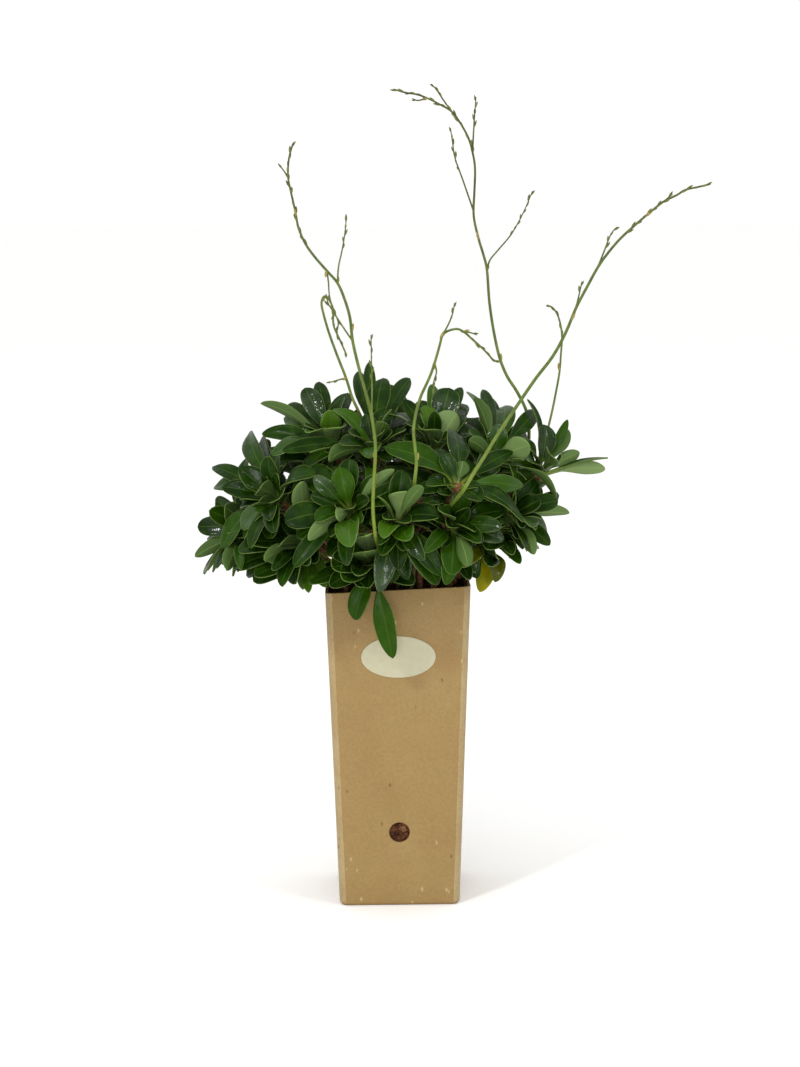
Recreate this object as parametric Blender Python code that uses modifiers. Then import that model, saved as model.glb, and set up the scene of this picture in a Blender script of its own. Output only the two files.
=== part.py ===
"""A goniolimon, a leathery-leaved perennial, growing in a tall square pot of brown board.

Metres, +Z up. The origin is the middle of the pot's flat base, and the front, with the label, faces -Y.
The pot, the compost and the label are made first. The plant is a clump of leafy stems, each ending in a
rosette of spoon-shaped leaves, with thin branched flower stems above. Every stem stands in its own hole
in the compost. A leaf is bent clear of the others by trying a few poses in a fixed order.
"""

import math
import random

import bmesh
import bpy
from mathutils import Matrix, Vector
from mathutils.bvhtree import BVHTree

MM = 0.001

# The pot: a tapered square tube of pressed board with a closed base
POT_HEIGHT = 220 * MM
POT_TOP = 97.5 * MM
POT_BASE = 82 * MM
POT_WALL = 1.8 * MM
POT_CORNER = 5.5 * MM
POT_FOOT = 3 * MM
RIM_FALL = 4 * MM
DRAIN_HOLE_RADIUS = 7 * MM
DRAIN_HOLE_HEIGHT = 52 * MM
LABEL_SIZE = (50 * MM, 28.5 * MM)
LABEL_THICKNESS = 0.5 * MM
LABEL_HEIGHT = 172 * MM
GAP = 0.3 * MM

# The compost: it ends a little under the rim and rises to the middle
COMPOST_BELOW_RIM = 8 * MM
COMPOST_MOUND = 5 * MM
COMPOST_LUMP = 1.1 * MM
STEM_SUNK = 24 * MM

# The clump: the leaves end near an ellipsoid that stands on the rim
DOME_CENTRE = Vector((-7 * MM, 0, POT_HEIGHT + 18 * MM))
DOME_RADII = Vector((130 * MM, 116 * MM, 112 * MM))
STEM_ROOT = Vector((0, 0, POT_HEIGHT - 30 * MM))
STEM_RADIUS = 2.3 * MM
APEX_RADIUS = 4.2 * MM
STEM_RADII = [STEM_RADIUS] * 3 + [STEM_RADIUS * 1.1, STEM_RADIUS * 1.5, APEX_RADIUS]
SLOT_RINGS = ((39 * MM, 14), (26 * MM, 10), (12 * MM, 6))

# Where the plant is seen from, so that a stem or a leaf can be placed by a pixel of the 800 x 1067 view
VIEW_DISTANCE = 1600 * MM
VIEW_TARGET = Vector((2.4 * MM, 0, 251 * MM))
VIEW_AZIMUTH = math.radians(-1.0)
VIEW_ELEVATION = math.radians(8.45)
VIEW_ROLL = math.radians(-0.37)
VIEW_FOCAL = 2335
VIEW_MIDDLE = (400, 533.5)

# Leaf blade: the share of its length where each ring of corners lies, and its thickness
LEAF_RINGS = (0.28, 0.6, 0.87)
LEAF_THICKNESS = 1.5 * MM
PETIOLE_HALF_WIDTH = 1.3 * MM
PETIOLE_THICKNESS = 2.0 * MM
GOLDEN_ANGLE = math.radians(137.508)

# The rosettes seen from the front: pixel of the growing tip, its depth in mm, leaves added by rule, and
# the leaves that the view shows, each as tip pixel, width in pixels, how it faces, and a depth where the
# tip isn't on the dome. o faces the viewer, u shows its underside, e is seen from the edge.
FRONT_ROSETTES = (
    ("left_low", 258, 532, -12, 6, (
        (210, 511, 17, "o"), (197, 527, 19, "o"), (196, 556, 14, "u"), (217, 569, 10, "e"),
        (227, 570, 15, "u"), (240, 566, 12, "e"))),
    ("left_mid", 280, 500, -40, 6, (
        (212, 466, 15, "o"), (211, 484, 15, "o"), (222, 487, 18, "o"), (239, 469, 21, "o"),
        (245, 429, 18, "o"), (267, 458, 17, "o"), (251, 548, 15, "o"), (242, 527, 19, "o", -64))),
    ("left_top", 334, 446, -30, 6, (
        (264, 401, 13, "u"), (282, 402, 15, "o"), (305, 389, 19, "o", -8), (280, 417, 15, "o"),
        (319, 381, 15, "o"), (299, 404, 14, "o"), (262, 434, 16, "o"), (330, 411, 19, "o"))),
    ("top_left", 374, 450, -42, 5, (
        (341, 444, 16, "o"), (324, 459, 15, "u"), (310, 454, 10, "e"), (347, 392, 9, "e"),
        (357, 371, 14, "o"), (369, 362, 12, "e"), (382, 374, 22, "o", -6), (282, 451, 13, "o"),
        (385, 421, 13, "u"), (410, 378, 15, "o"))),
    ("middle_left", 350, 512, -78, 5, (
        (314, 477, 14, "o"), (306, 539, 15, "u"), (285, 521, 25, "o"),
        (337, 518, 13, "u"), (347, 566, 15, "o"), (293, 566, 16, "o"), (394, 468, 11, "u"))),
    ("front_low", 374, 566, -60, 4, (
        (309, 585, 14, "o", -98), (354, 620, 19, "o", -70), (366, 530, 22, "u", -104),
        (333, 556, 15, "o", -102), (394, 657, 25, "o", -66))),
    ("front_middle", 396, 522, -86, 5, (
        (442, 575, 19, "o", -104), (379, 592, 20, "o", -100), (423, 560, 15, "o"), (405, 489, 23, "u"),
        (423, 484, 12, "u"), (409, 541, 20, "o"), (380, 494, 10, "e"))),
    ("front_right", 458, 484, -80, 6, (
        (463, 461, 14, "u"), (441, 454, 14, "o"), (425, 486, 12, "e"), (525, 488, 16, "o"),
        (459, 515, 20, "o"), (512, 452, 15, "o"), (482, 501, 17, "o"))),
    ("top_middle", 434, 450, -38, 5, (
        (457, 413, 26, "u"), (449, 389, 26, "o", -18), (434, 411, 13, "o"), (432, 386, 14, "o"),
        (461, 389, 13, "o"), (403, 400, 13, "o"), (468, 404, 16, "o"))),
    ("top_right", 494, 460, -42, 5, (
        (498, 425, 19, "o", -46), (468, 439, 14, "u"), (530, 445, 22, "u", -58), (505, 402, 21, "o"),
        (482, 389, 12, "o"), (468, 387, 9, "e"), (526, 428, 18, "o"), (487, 398, 14, "o"),
        (537, 411, 16, "o"), (476, 398, 14, "u"))),
    ("right_mid", 540, 474, -14, 6, (
        (559, 461, 21, "o", -36), (567, 430, 16, "u"), (577, 453, 13, "u"), (606, 469, 13, "u"),
        (608, 458, 10, "e"), (567, 420, 9, "e"), (532, 397, 9, "e"), (545, 424, 19, "o"))),
    ("right_low", 508, 517, -44, 6, (
        (549, 544, 15, "o"), (569, 513, 13, "u"), (534, 554, 14, "u"), (526, 552, 9, "e"),
        (563, 495, 13, "o"))),
    ("right_under", 486, 541, -44, 3, (
        (480, 592, 19, "o", -62), (498, 581, 18, "o", -60), (512, 551, 14, "o"), (462, 568, 12, "o"),
        (520, 563, 12, "o"))),
    ("front_right_low", 452, 526, -74, 5, (
        (451, 575, 23, "o"), (479, 542, 17, "o"), (503, 540, 16, "o"), (501, 527, 15, "o"),
        (427, 550, 14, "o"), (468, 566, 14, "u"))),
    ("left_under", 314, 546, -48, 5, (
        (280, 582, 17, "o"), (275, 566, 13, "o"), (302, 590, 12, "u", -84), (309, 594, 11, "e", -86),
        (326, 588, 15, "o", -84), (262, 560, 14, "u"), (301, 481, 18, "u", -78))),
)

# The rosettes behind and on top: direction from the middle as azimuth and height in degrees, the
# share of the dome's radius where the growing tip lies, and the number of leaves
BACK_ROSETTES = (
    ("crown_left", 205, 62, 0.60, 12),
    ("crown_right", 55, 60, 0.62, 12),
    ("back_right", 25, 16, 0.66, 13),
    ("back_right_high", 62, 30, 0.62, 12),
    ("back_right_low", 66, 2, 0.62, 11),
    ("back_middle", 98, 16, 0.64, 13),
    ("back_left_high", 130, 32, 0.62, 12),
    ("back_left_low", 118, 2, 0.62, 11),
    ("back_left", 158, 14, 0.66, 13),
)

# The flower stems: depth in mm where they leave the leaves and at the tip, radius in mm at foot and tip,
# then the main line and the side twigs as pixels. A twig starts on the main line.
FLOWER_STEMS = (
    ("tall_left", -104, -62, 1.35, 0.75, (
        (375, 532), (373, 510), (374, 480), (375.5, 450), (373.5, 428), (369.5, 406), (362, 380),
        (353, 343), (350, 318), (344.5, 299), (337.5, 283), (327, 271), (314, 256), (305, 243),
        (298.5, 228), (296, 215), (293, 201), (290, 188), (288, 176), (289, 158), (293.5, 142)), (
        ((337.5, 283), (338.5, 267), (341.5, 253), (344.5, 236), (346.5, 217)),
        ((352.5, 341), (345, 330), (336, 316), (328.5, 304), (326, 295)),
        ((327, 271), (328.5, 283), (329.5, 296), (334, 312)),
        ((288, 177), (284, 171), (280, 166)))),
    ("nodding_left", -30, -16, 1.05, 0.75, (
        (357, 408), (352, 397), (346, 378), (337, 355), (329, 333), (323.5, 314), (321.5, 303),
        (324, 296.5), (328.5, 299), (333, 309), (333.5, 325), (339, 338), (343, 347), (347, 356)), (
        ((346, 378), (338, 380), (328, 383)),
        ((333, 310), (338, 321), (337.5, 330)))),
    ("arching_middle", -100, -66, 1.25, 0.75, (
        (415, 478), (416.5, 462), (415, 447), (413.5, 430), (416.5, 411), (421, 396), (427, 383),
        (432, 371), (437, 355), (440, 344), (442.5, 335.5), (448, 331), (457, 329), (464, 332),
        (472, 339), (481, 347), (487, 353), (493, 359.5), (499, 362.5)), (
        ((442.5, 335.5), (449.5, 322), (453, 312), (454.5, 303)),
        ((434.5, 363), (436.5, 372), (434, 381), (434, 392)),
        ((464, 332), (470, 332.5), (477, 335)))),
    ("tall_middle", 4, 14, 1.25, 0.75, (
        (529, 433), (528, 418), (524, 405), (516, 390), (507, 376), (500, 359), (495, 338),
        (491.5, 318), (489, 298), (487, 270), (483.5, 255), (479.5, 242), (475, 224), (473.5, 211),
        (474.5, 190), (475, 168), (472.5, 152), (468, 137), (459, 121), (451, 111), (438, 103.5),
        (427, 98), (417, 94.5), (405, 92.5), (393, 89)), (
        ((451, 111), (442, 98), (437, 90.5), (431.5, 84)),
        ((472.5, 152), (474, 124), (475, 110), (476, 97)),
        ((473.5, 211), (462.5, 179), (455, 158), (452.5, 142), (450.5, 128)),
        ((487, 270), (490, 260), (499, 249), (510, 236), (518, 223), (525, 209), (532.5, 191)),
        ((427, 98), (418, 100.5), (412.5, 98.5)))),
    ("tall_right", -96, -58, 1.4, 0.8, (
        (466, 486), (475, 471), (484, 457), (498, 434), (515.5, 408), (535, 379.5), (553, 356),
        (566, 332), (576, 308), (587, 287), (598, 267), (608, 253), (620, 239), (634, 226),
        (648, 214), (663, 202), (677, 195), (685, 190), (698, 187), (711, 184)), (
        ((576, 308), (579, 295), (582, 281.5)),
        ((598, 267), (605, 249), (611, 234), (617, 227)),
        ((648, 214), (663, 202), (672.5, 194)))),
    ("thin_right", -4, -10, 0.95, 0.7, (
        (541, 453), (546, 436), (551.5, 414), (556, 392), (559.5, 372), (561, 353), (562, 339),
        (561, 327), (558, 316), (553, 308), (546.5, 305)), ()),
)
TWIG_RADIUS = 0.6 * MM
SPIKELET_LENGTH = 6 * MM
SPIKELET_RADIUS = 1.2 * MM
SPIKELET_STEP = 11 * MM
SPIKELET_REACH = 2.8 * MM
SPIKE_SHARE = 0.26


def new_collection(name):
    collection = bpy.data.collections.new(name)
    bpy.context.scene.collection.children.link(collection)
    return collection


def object_from(bm, name, collection):
    """A finished bmesh as an object."""
    bm.normal_update()
    mesh = bpy.data.meshes.new(name)
    bm.to_mesh(mesh)
    bm.free()
    obj = bpy.data.objects.new(name, mesh)
    collection.objects.link(obj)
    return obj


def material(name, colour, roughness):
    """A plain dielectric finish."""
    made = bpy.data.materials.new(name)
    made.use_nodes = True
    shader = made.node_tree.nodes["Principled BSDF"]
    shader.inputs["Base Color"].default_value = (*colour, 1)
    shader.inputs["Roughness"].default_value = roughness
    shader.inputs["Metallic"].default_value = 0
    return made


def boolean(obj, operation, other):
    """Cuts, joins or intersects obj with an object or a collection, and applies all its modifiers."""
    modifier = obj.modifiers.new(operation.lower(), "BOOLEAN")
    modifier.operation = operation
    modifier.solver = "EXACT"
    if isinstance(other, bpy.types.Collection):
        modifier.operand_type = "COLLECTION"
        modifier.collection = other
    else:
        modifier.object = other
    bpy.context.view_layer.update()
    graph = bpy.context.evaluated_depsgraph_get()
    joined = bpy.data.meshes.new_from_object(obj.evaluated_get(graph))
    obj.modifiers.clear()
    obj.data = joined
    return obj


def remove_all(collection):
    """Deletes the helpers that a Boolean has used."""
    for obj in list(collection.objects):
        bpy.data.objects.remove(obj)


def fill_sealed(obj):
    """Makes solid any space that the leaf bases have shut in, by taking out its inner skin."""
    bm = bmesh.new()
    bm.from_mesh(obj.data)
    reached, inner = set(), []
    for start in bm.verts:
        if start in reached:
            continue
        skin = [start]
        reached.add(start)
        for v in skin:
            for near in (e.other_vert(v) for e in v.link_edges):
                if near not in reached:
                    reached.add(near)
                    skin.append(near)
        faces = {f for v in skin for f in v.link_faces}
        if sum(f.normal.dot(f.verts[0].co) * f.calc_area() for f in faces) < 0:
            inner += skin
    bmesh.ops.delete(bm, geom=inner, context="VERTS")
    bm.to_mesh(obj.data)
    bm.free()


# The pot


def half_size(z):
    """Half the pot's outside width at a height."""
    return (POT_BASE + (POT_TOP - POT_BASE) * z / POT_HEIGHT) / 2


def rim_height(x):
    """The rim is hand cut: its left end is lower than its right."""
    return POT_HEIGHT + RIM_FALL * x / POT_TOP


def tapered_box(height, inset, corner, foot):
    """A bmesh box with the pot's taper, its upright edges rounded by corner and its base edges by foot."""
    bm = bmesh.new()
    bmesh.ops.create_cube(bm, size=1)
    for v in bm.verts:
        z = (v.co.z + 0.5) * height + (inset if v.co.z < 0 else 0)
        half = half_size(z) - inset
        v.co = Vector((math.copysign(half, v.co.x), math.copysign(half, v.co.y), z))
    upright = [e for e in bm.edges if abs(e.verts[0].co.z - e.verts[1].co.z) > height / 2]
    bmesh.ops.bevel(bm, geom=upright, offset=corner, segments=3, profile=0.5, affect="EDGES", material=-1)
    low = min(v.co.z for v in bm.verts)
    base = [e for e in bm.edges if max(v.co.z for v in e.verts) < low + MM]
    if foot:
        bmesh.ops.bevel(bm, geom=base, offset=foot, segments=2, profile=0.5, affect="EDGES", material=-1)
    return bm


def make_pot(collection, cutters):
    """The board shell, open at the top, with one round drain hole in its front."""
    bm = tapered_box(POT_HEIGHT, 0, POT_CORNER, POT_FOOT)
    top = [f for f in bm.faces if min(v.co.z for v in f.verts) > POT_HEIGHT - MM]
    bmesh.ops.delete(bm, geom=top, context="FACES_ONLY")
    for v in bm.verts:
        if v.co.z > POT_HEIGHT - MM:
            v.co.z = rim_height(v.co.x)
    pot = object_from(bm, "pot", collection)
    shell = pot.modifiers.new("wall", "SOLIDIFY")
    shell.thickness = POT_WALL
    shell.offset = -1
    shell.use_even_offset = True

    drill = bmesh.new()
    bmesh.ops.create_cone(drill, cap_ends=True, segments=24, radius1=DRAIN_HOLE_RADIUS,
                          radius2=DRAIN_HOLE_RADIUS, depth=12 * MM)
    turn = Matrix.Rotation(math.radians(90), 4, "X")
    place = Matrix.Translation((0, -half_size(DRAIN_HOLE_HEIGHT), DRAIN_HOLE_HEIGHT))
    bmesh.ops.transform(drill, matrix=place @ turn, verts=drill.verts)
    cutter = object_from(drill, "drain_hole_cutter", cutters)
    boolean(pot, "DIFFERENCE", cutter)
    return pot


def make_label(collection):
    """An oval paper sticker, left blank, flat on the sloping front."""
    bm = bmesh.new()
    bmesh.ops.create_cone(bm, cap_ends=True, segments=28, radius1=0.5, radius2=0.5, depth=1)
    bmesh.ops.scale(bm, vec=(*LABEL_SIZE, LABEL_THICKNESS), verts=bm.verts)
    slope = math.atan2((POT_TOP - POT_BASE) / 2, POT_HEIGHT)
    bmesh.ops.rotate(bm, matrix=Matrix.Rotation(math.radians(90) + slope, 3, "X"), verts=bm.verts)
    out = GAP / 2 + LABEL_THICKNESS / 2
    bmesh.ops.translate(bm, vec=(0, -half_size(LABEL_HEIGHT) - out, LABEL_HEIGHT), verts=bm.verts)
    return object_from(bm, "label", collection)


def compost_top(x, y):
    """Height of the compost: a low mound with lumps."""
    share = min(1, (x * x + y * y) / (POT_TOP / 2) ** 2)
    lumps = math.sin(x * 410 + 1) * math.cos(y * 370) + 0.6 * math.sin(x * 830 - y * 760)
    return POT_HEIGHT - COMPOST_BELOW_RIM + COMPOST_MOUND * (1 - share) + COMPOST_LUMP * lumps


def make_compost(collection, cutters):
    """The root ball, which fills the pot, with a hole for each stem."""
    inside = tapered_box(POT_HEIGHT + 20 * MM, POT_WALL + GAP, POT_CORNER - POT_WALL, POT_FOOT - POT_WALL)
    compost = object_from(inside, "compost", collection)
    bm = bmesh.new()
    bmesh.ops.create_grid(bm, x_segments=7, y_segments=7, size=POT_TOP * 0.55)
    for v in bm.verts:
        v.co.z = compost_top(v.co.x, v.co.y)
    raised = bmesh.ops.extrude_face_region(bm, geom=list(bm.faces))
    for v in [g for g in raised["geom"] if isinstance(g, bmesh.types.BMVert)]:
        v.co.z = -10 * MM
    bmesh.ops.recalc_face_normals(bm, faces=bm.faces)
    lumpy = object_from(bm, "compost_form", cutters)
    boolean(compost, "INTERSECT", lumpy)
    bpy.data.objects.remove(lumpy)
    return compost


def bore_compost(compost, feet, cutters):
    """Cuts the plain holes that the stems stand in."""
    for x, y, radius in feet:
        bm = bmesh.new()
        wide = (radius + GAP) / math.cos(math.pi / 6)
        bmesh.ops.create_cone(bm, cap_ends=True, segments=6, radius1=wide, radius2=wide, depth=60 * MM)
        low = POT_HEIGHT - COMPOST_BELOW_RIM - STEM_SUNK - GAP
        bmesh.ops.translate(bm, vec=(x, y, low + 30 * MM), verts=bm.verts)
        object_from(bm, "stem_hole_cutter", cutters)
    boolean(compost, "DIFFERENCE", cutters)
    remove_all(cutters)


# Placing by pixel


def view_axes():
    """The viewer's place, and the directions in to the picture, right and up."""
    back = Vector((
        math.sin(VIEW_AZIMUTH) * math.cos(VIEW_ELEVATION),
        -math.cos(VIEW_AZIMUTH) * math.cos(VIEW_ELEVATION),
        math.sin(VIEW_ELEVATION),
    ))
    right = (-back).cross(Vector((0, 0, 1))).normalized()
    turn = Matrix.Rotation(VIEW_ROLL, 3, back)
    right = turn @ right
    return VIEW_TARGET + back * VIEW_DISTANCE, -back, right, right.cross(-back)


EYE, FORWARD, RIGHT, UP = view_axes()


def pixel_ray(px, py):
    """Direction from the eye through a pixel."""
    across = (px - VIEW_MIDDLE[0]) / VIEW_FOCAL
    down = (py - VIEW_MIDDLE[1]) / VIEW_FOCAL
    return (FORWARD + RIGHT * across - UP * down).normalized()


def at_depth(px, py, y):
    """The point behind a pixel that has this Y."""
    ray = pixel_ray(px, py)
    return EYE + ray * ((y - EYE.y) / ray.y)


def on_dome(px, py):
    """The point behind a pixel where the dome of leaves begins, or the nearest to it beside the dome."""
    ray = pixel_ray(px, py)
    start = EYE - DOME_CENTRE
    o = Vector([a / r for a, r in zip(start, DOME_RADII)])
    d = Vector([a / r for a, r in zip(ray, DOME_RADII)])
    middle = -o.dot(d) / d.dot(d)
    under = middle * middle - (o.dot(o) - 1) / d.dot(d)
    return EYE + ray * (middle - math.sqrt(max(0, under)))


# The leaves


def leaf_width(t):
    """Share of the full width at a share of the length: a narrow stalk, then a spoon-shaped blade."""
    if t < 0.7:
        s = min(1, max(0, (t - 0.14) / 0.56))
        return s * s * (3 - 2 * s)
    return max(0, 1 - ((t - 0.7) / 0.3) ** 2) ** 0.52


def make_leaf(root, bend, tip, facing, width):
    """A leaf's skeleton: its midrib is the quadratic curve root, bend, tip, and facing is its upper side."""
    across = facing.cross(tip - bend)
    return {"root": root, "bend": bend, "tip": tip, "across": across.normalized(), "width": width}


def midrib(leaf, t):
    """Point and direction on the midrib."""
    a, b, c = leaf["root"], leaf["bend"], leaf["tip"]
    point = a * (1 - t) ** 2 + b * 2 * t * (1 - t) + c * t * t
    return point, ((b - a) * (1 - t) + (c - b) * t).normalized()


def leaf_point(leaf, t, side, grow=0):
    """A corner of the leaf's section: its edges at side -1 and 1, and its rib below them at side 0."""
    point, along = midrib(leaf, t)
    if t == 1:
        return point
    across = (leaf["across"] - along * leaf["across"].dot(along)).normalized()
    above = along.cross(across)
    half = max(PETIOLE_HALF_WIDTH * (1 - t), leaf_width(t) * leaf["width"] / 2) + grow
    thick = PETIOLE_THICKNESS + (LEAF_THICKNESS - PETIOLE_THICKNESS) * min(1, t / 0.5) + 2 * grow
    return point + across * (half * side) + above * (thick * (0.35 if side else -0.65))


def leaf_template():
    """A three-sided cone sliced into rings of corners: the blade's two edges, and the rib under it."""
    bm = bmesh.new()
    bmesh.ops.create_cone(bm, cap_ends=True, segments=3, radius1=1, radius2=0, depth=1)
    bmesh.ops.translate(bm, vec=(0, 0, 0.5), verts=bm.verts)
    for t in LEAF_RINGS:
        bmesh.ops.bisect_plane(bm, geom=bm.verts[:] + bm.edges[:] + bm.faces[:],
                               plane_co=(0, 0, t), plane_no=(0, 0, 1))
    bmesh.ops.triangulate(bm, faces=bm.faces)
    bmesh.ops.recalc_face_normals(bm, faces=bm.faces)
    corners = []
    for v in bm.verts:
        side = 0 if abs(v.co.x) < 0.1 * (1 - v.co.z) else math.copysign(1, v.co.x)
        corners.append((round(v.co.z, 6), side))
    return bm, corners, [[v.index for v in f.verts] for f in bm.faces]


TEMPLATE, CORNERS, FACES = leaf_template()
BLADE_FACES = [f for f in FACES if min(CORNERS[i][0] for i in f) > 0.4]
TRY_MARGIN = 0.45 * MM


def leaf_object(leaf, name, collection):
    """The leaf as a solid, from a copy of the sliced cone."""
    bm = TEMPLATE.copy()
    for v, (t, side) in zip(bm.verts, CORNERS):
        v.co = leaf_point(leaf, t, side)
    bmesh.ops.recalc_face_normals(bm, faces=bm.faces)
    return object_from(bm, name, collection)


def in_clump(tip):
    """Whether a tip stays in the clump's outline, which ends at the rim and rises towards the right."""
    p = tip - DOME_CENTRE
    low = POT_HEIGHT - 2 * MM + 0.45 * max(0, tip.x - 55 * MM) + 1.1 * max(0, tip.x - 95 * MM)
    low += 0.17 * max(0, -tip.y - 20 * MM)
    return sum((a / r) ** 2 for a, r in zip(p, DOME_RADII)) < 1.06 and tip.z > low


def clear_of_pot(leaf):
    """Whether a blade stays outside the pot's wall, and above the compost inside it."""
    for step in range(2, 21):
        for side in (-1, 0, 1):
            p = leaf_point(leaf, step / 20, side)
            reach = max(abs(p.x), abs(p.y))
            if p.z > rim_height(p.x) + 1.5 * MM:
                continue
            if reach > half_size(max(0, p.z)) + 1.8 * MM:
                continue
            if reach > half_size(p.z) - POT_WALL - 1.5 * MM or p.z < compost_top(p.x, p.y) + 2 * MM:
                return False
    return True


class Clump:
    """What is already in place, so that the next leaf is bent clear of it."""

    def __init__(self):
        self.placed = []
        self.shown = []

    def shapes(self, leaf):
        points = [leaf_point(leaf, t, side, TRY_MARGIN) for t, side in CORNERS]
        tree = BVHTree.FromPolygons(points, FACES)
        blade = BVHTree.FromPolygons(points, BLADE_FACES)
        centre = (leaf["root"] + leaf["tip"]) / 2
        radius = max((p - centre).length for p in points)
        return tree, blade, centre, radius

    def free(self, owner, shapes):
        tree, blade, centre, radius = shapes
        for other, other_tree, other_blade, other_centre, other_radius in self.placed:
            if (centre - other_centre).length > radius + other_radius:
                continue
            if other != owner and tree.overlap(other_tree):
                return False
            if other == owner and other_blade is not None and blade.overlap(other_blade):
                return False
        return True

    def hides(self, leaf):
        """Whether a leaf would lie in front of a leaf that the view shows."""
        covered = 0
        for t in (0.5, 0.72, 0.94):
            for side in (-0.8, 0, 0.8):
                p = leaf_point(leaf, t, side)
                way = (p - EYE).normalized()
                for tree, centre, radius in self.shown:
                    off = centre - p
                    if off.dot(way) > -radius and (off - way * off.dot(way)).length < radius:
                        covered += tree.ray_cast(p, way)[3] is not None
                        if covered > 2:
                            return True
        return False

    def place(self, owner, tries, shown=False):
        """The first pose that is clear of everything, or None."""
        for leaf in tries:
            if not clear_of_pot(leaf) or (not shown and self.hides(leaf)):
                continue
            shapes = self.shapes(leaf)
            if self.free(owner, shapes):
                self.placed.append((owner, *shapes))
                if shown:
                    tree, blade, centre, radius = shapes
                    self.shown.append((blade, centre, radius))
                return leaf
        return None


def seen_leaf(rosette, tip, width, facing):
    """A leaf whose tip is placed by pixel. It leaves the growing tip along the stem and bends over."""
    root = rosette["at"] - rosette["axis"] * 3 * MM
    reach = tip - root
    lean = max(0, -rosette["axis"].dot(reach.normalized()))
    bend = root + reach * 0.4 + rosette["axis"] * reach.length * (0.2 + 0.25 * lean)
    towards = {"o": -FORWARD * 0.8 + rosette["axis"] * 0.3, "u": FORWARD * 0.85 + rosette["axis"] * 0.3,
               "e": rosette["axis"] * 0.5 + UP * 0.8 - FORWARD * 0.25}[facing]
    return make_leaf(root, bend, tip, towards, width)


def seen_leaf_tries(rosette, entry):
    """Poses of one seen leaf: the same pixel with the tip nearer or further, then a narrower blade."""
    px, py, width_px, facing = entry[:4]
    tip = at_depth(px, py, entry[4] * MM) if len(entry) > 4 else on_dome(px, py)
    ray = pixel_ray(px, py)
    width = width_px * (VIEW_DISTANCE / VIEW_FOCAL) * 1.08
    for narrow in (1, 0.85, 0.72):
        for shift in (0, 3, -3, 6, -6, 9, -9, 12, -12, 15, -15, 19, 23, -19, 28, 34):
            yield seen_leaf(rosette, tip + ray * shift * MM, width * narrow, facing)


def rule_leaf_tries(rosette, index, count, rng):
    """Poses of one leaf of the spiral: the young ones stand up in the middle and the old ones spread."""
    age = (index + 0.6) / count
    turn = rosette["phase"] + index * GOLDEN_ANGLE
    length = (34 + 22 * age) * MM * rng.uniform(0.9, 1.1)
    width = (13 + 6.5 * age) * MM * rng.uniform(0.9, 1.12)
    open_angle = math.radians(16 + 74 * age ** 0.85) + rng.uniform(-0.08, 0.08)
    axis, first, second = rosette["axis"], rosette["first"], rosette["second"]
    root = rosette["at"] - axis * (2 + 6 * age) * MM
    for shorter in (1, 0.86, 0.74):
        for swing, lift in ((0, 0), (14, 0), (-14, 0), (0, -14), (0, 12), (26, -8), (-26, -8), (20, 12),
                            (-20, 12), (38, 0), (-38, 0), (0, -28), (32, -24), (-32, -24)):
            a = turn + math.radians(swing)
            out = first * math.cos(a) + second * math.sin(a)
            opened = open_angle + math.radians(lift)
            along = axis * math.cos(opened) + out * math.sin(opened)
            early = axis * math.cos(opened * 0.4) + out * math.sin(opened * 0.4)
            size = length * shorter
            tip = root + along * size - Vector((0, 0, age * 0.1 * size))
            if not in_clump(tip):
                continue
            facing = axis * math.sin(opened) - out * math.cos(opened)
            yield make_leaf(root, root + early * size * 0.5, tip, facing, width * shorter ** 0.5)


# The stems


def tube(name, points, radii, sides, collection):
    """A closed tube along points, as a mesh with its caps welded."""
    curve = bpy.data.curves.new(name, "CURVE")
    curve.dimensions = "3D"
    curve.bevel_depth = 1
    curve.bevel_resolution = (sides - 4) // 2
    curve.use_fill_caps = True
    spline = curve.splines.new("POLY")
    spline.points.add(len(points) - 1)
    for point, at, radius in zip(spline.points, points, radii):
        point.co = (*at, 1)
        point.radius = radius
    drawn = bpy.data.objects.new(name, curve)
    collection.objects.link(drawn)
    bpy.context.view_layer.update()
    mesh = bpy.data.meshes.new_from_object(drawn.evaluated_get(bpy.context.evaluated_depsgraph_get()))
    bpy.data.objects.remove(drawn)
    bm = bmesh.new()
    bm.from_mesh(mesh)
    bmesh.ops.remove_doubles(bm, verts=bm.verts, dist=1e-6)
    bmesh.ops.recalc_face_normals(bm, faces=bm.faces)
    return object_from(bm, name, collection)


def bezier(a, b, c, d, t):
    """A point of a cubic curve."""
    return a * (1 - t) ** 3 + b * 3 * t * (1 - t) ** 2 + c * 3 * t * t * (1 - t) + d * t ** 3


def stem_line(foot, at, axis, sway):
    """The line of a stem: upright out of the compost, then bending, with some sway, to where it ends."""
    surface = Vector((foot[0], foot[1], compost_top(*foot)))
    sunk = Vector((foot[0], foot[1], POT_HEIGHT - COMPOST_BELOW_RIM - STEM_SUNK))
    above = surface + Vector((0, 0, 3 * MM))
    reach = (at - above).length
    first = above + Vector((0, 0, reach * 0.4)) + sway
    last = at - axis * reach * 0.3 + sway
    return [sunk] + [bezier(above, first, last, at, t) for t in (0, 0.35, 0.68, 0.9, 1)]


def beads(points, radii):
    """Closely spaced spheres along a stem, for judging how near two stems come."""
    found = []
    for a, b, start, end in zip(points, points[1:], radii, radii[1:]):
        count = max(1, round((b - a).length / (1.5 * MM)))
        found += [(a.lerp(b, i / count), start + (end - start) * i / count) for i in range(count + 1)]
    return found


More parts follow.
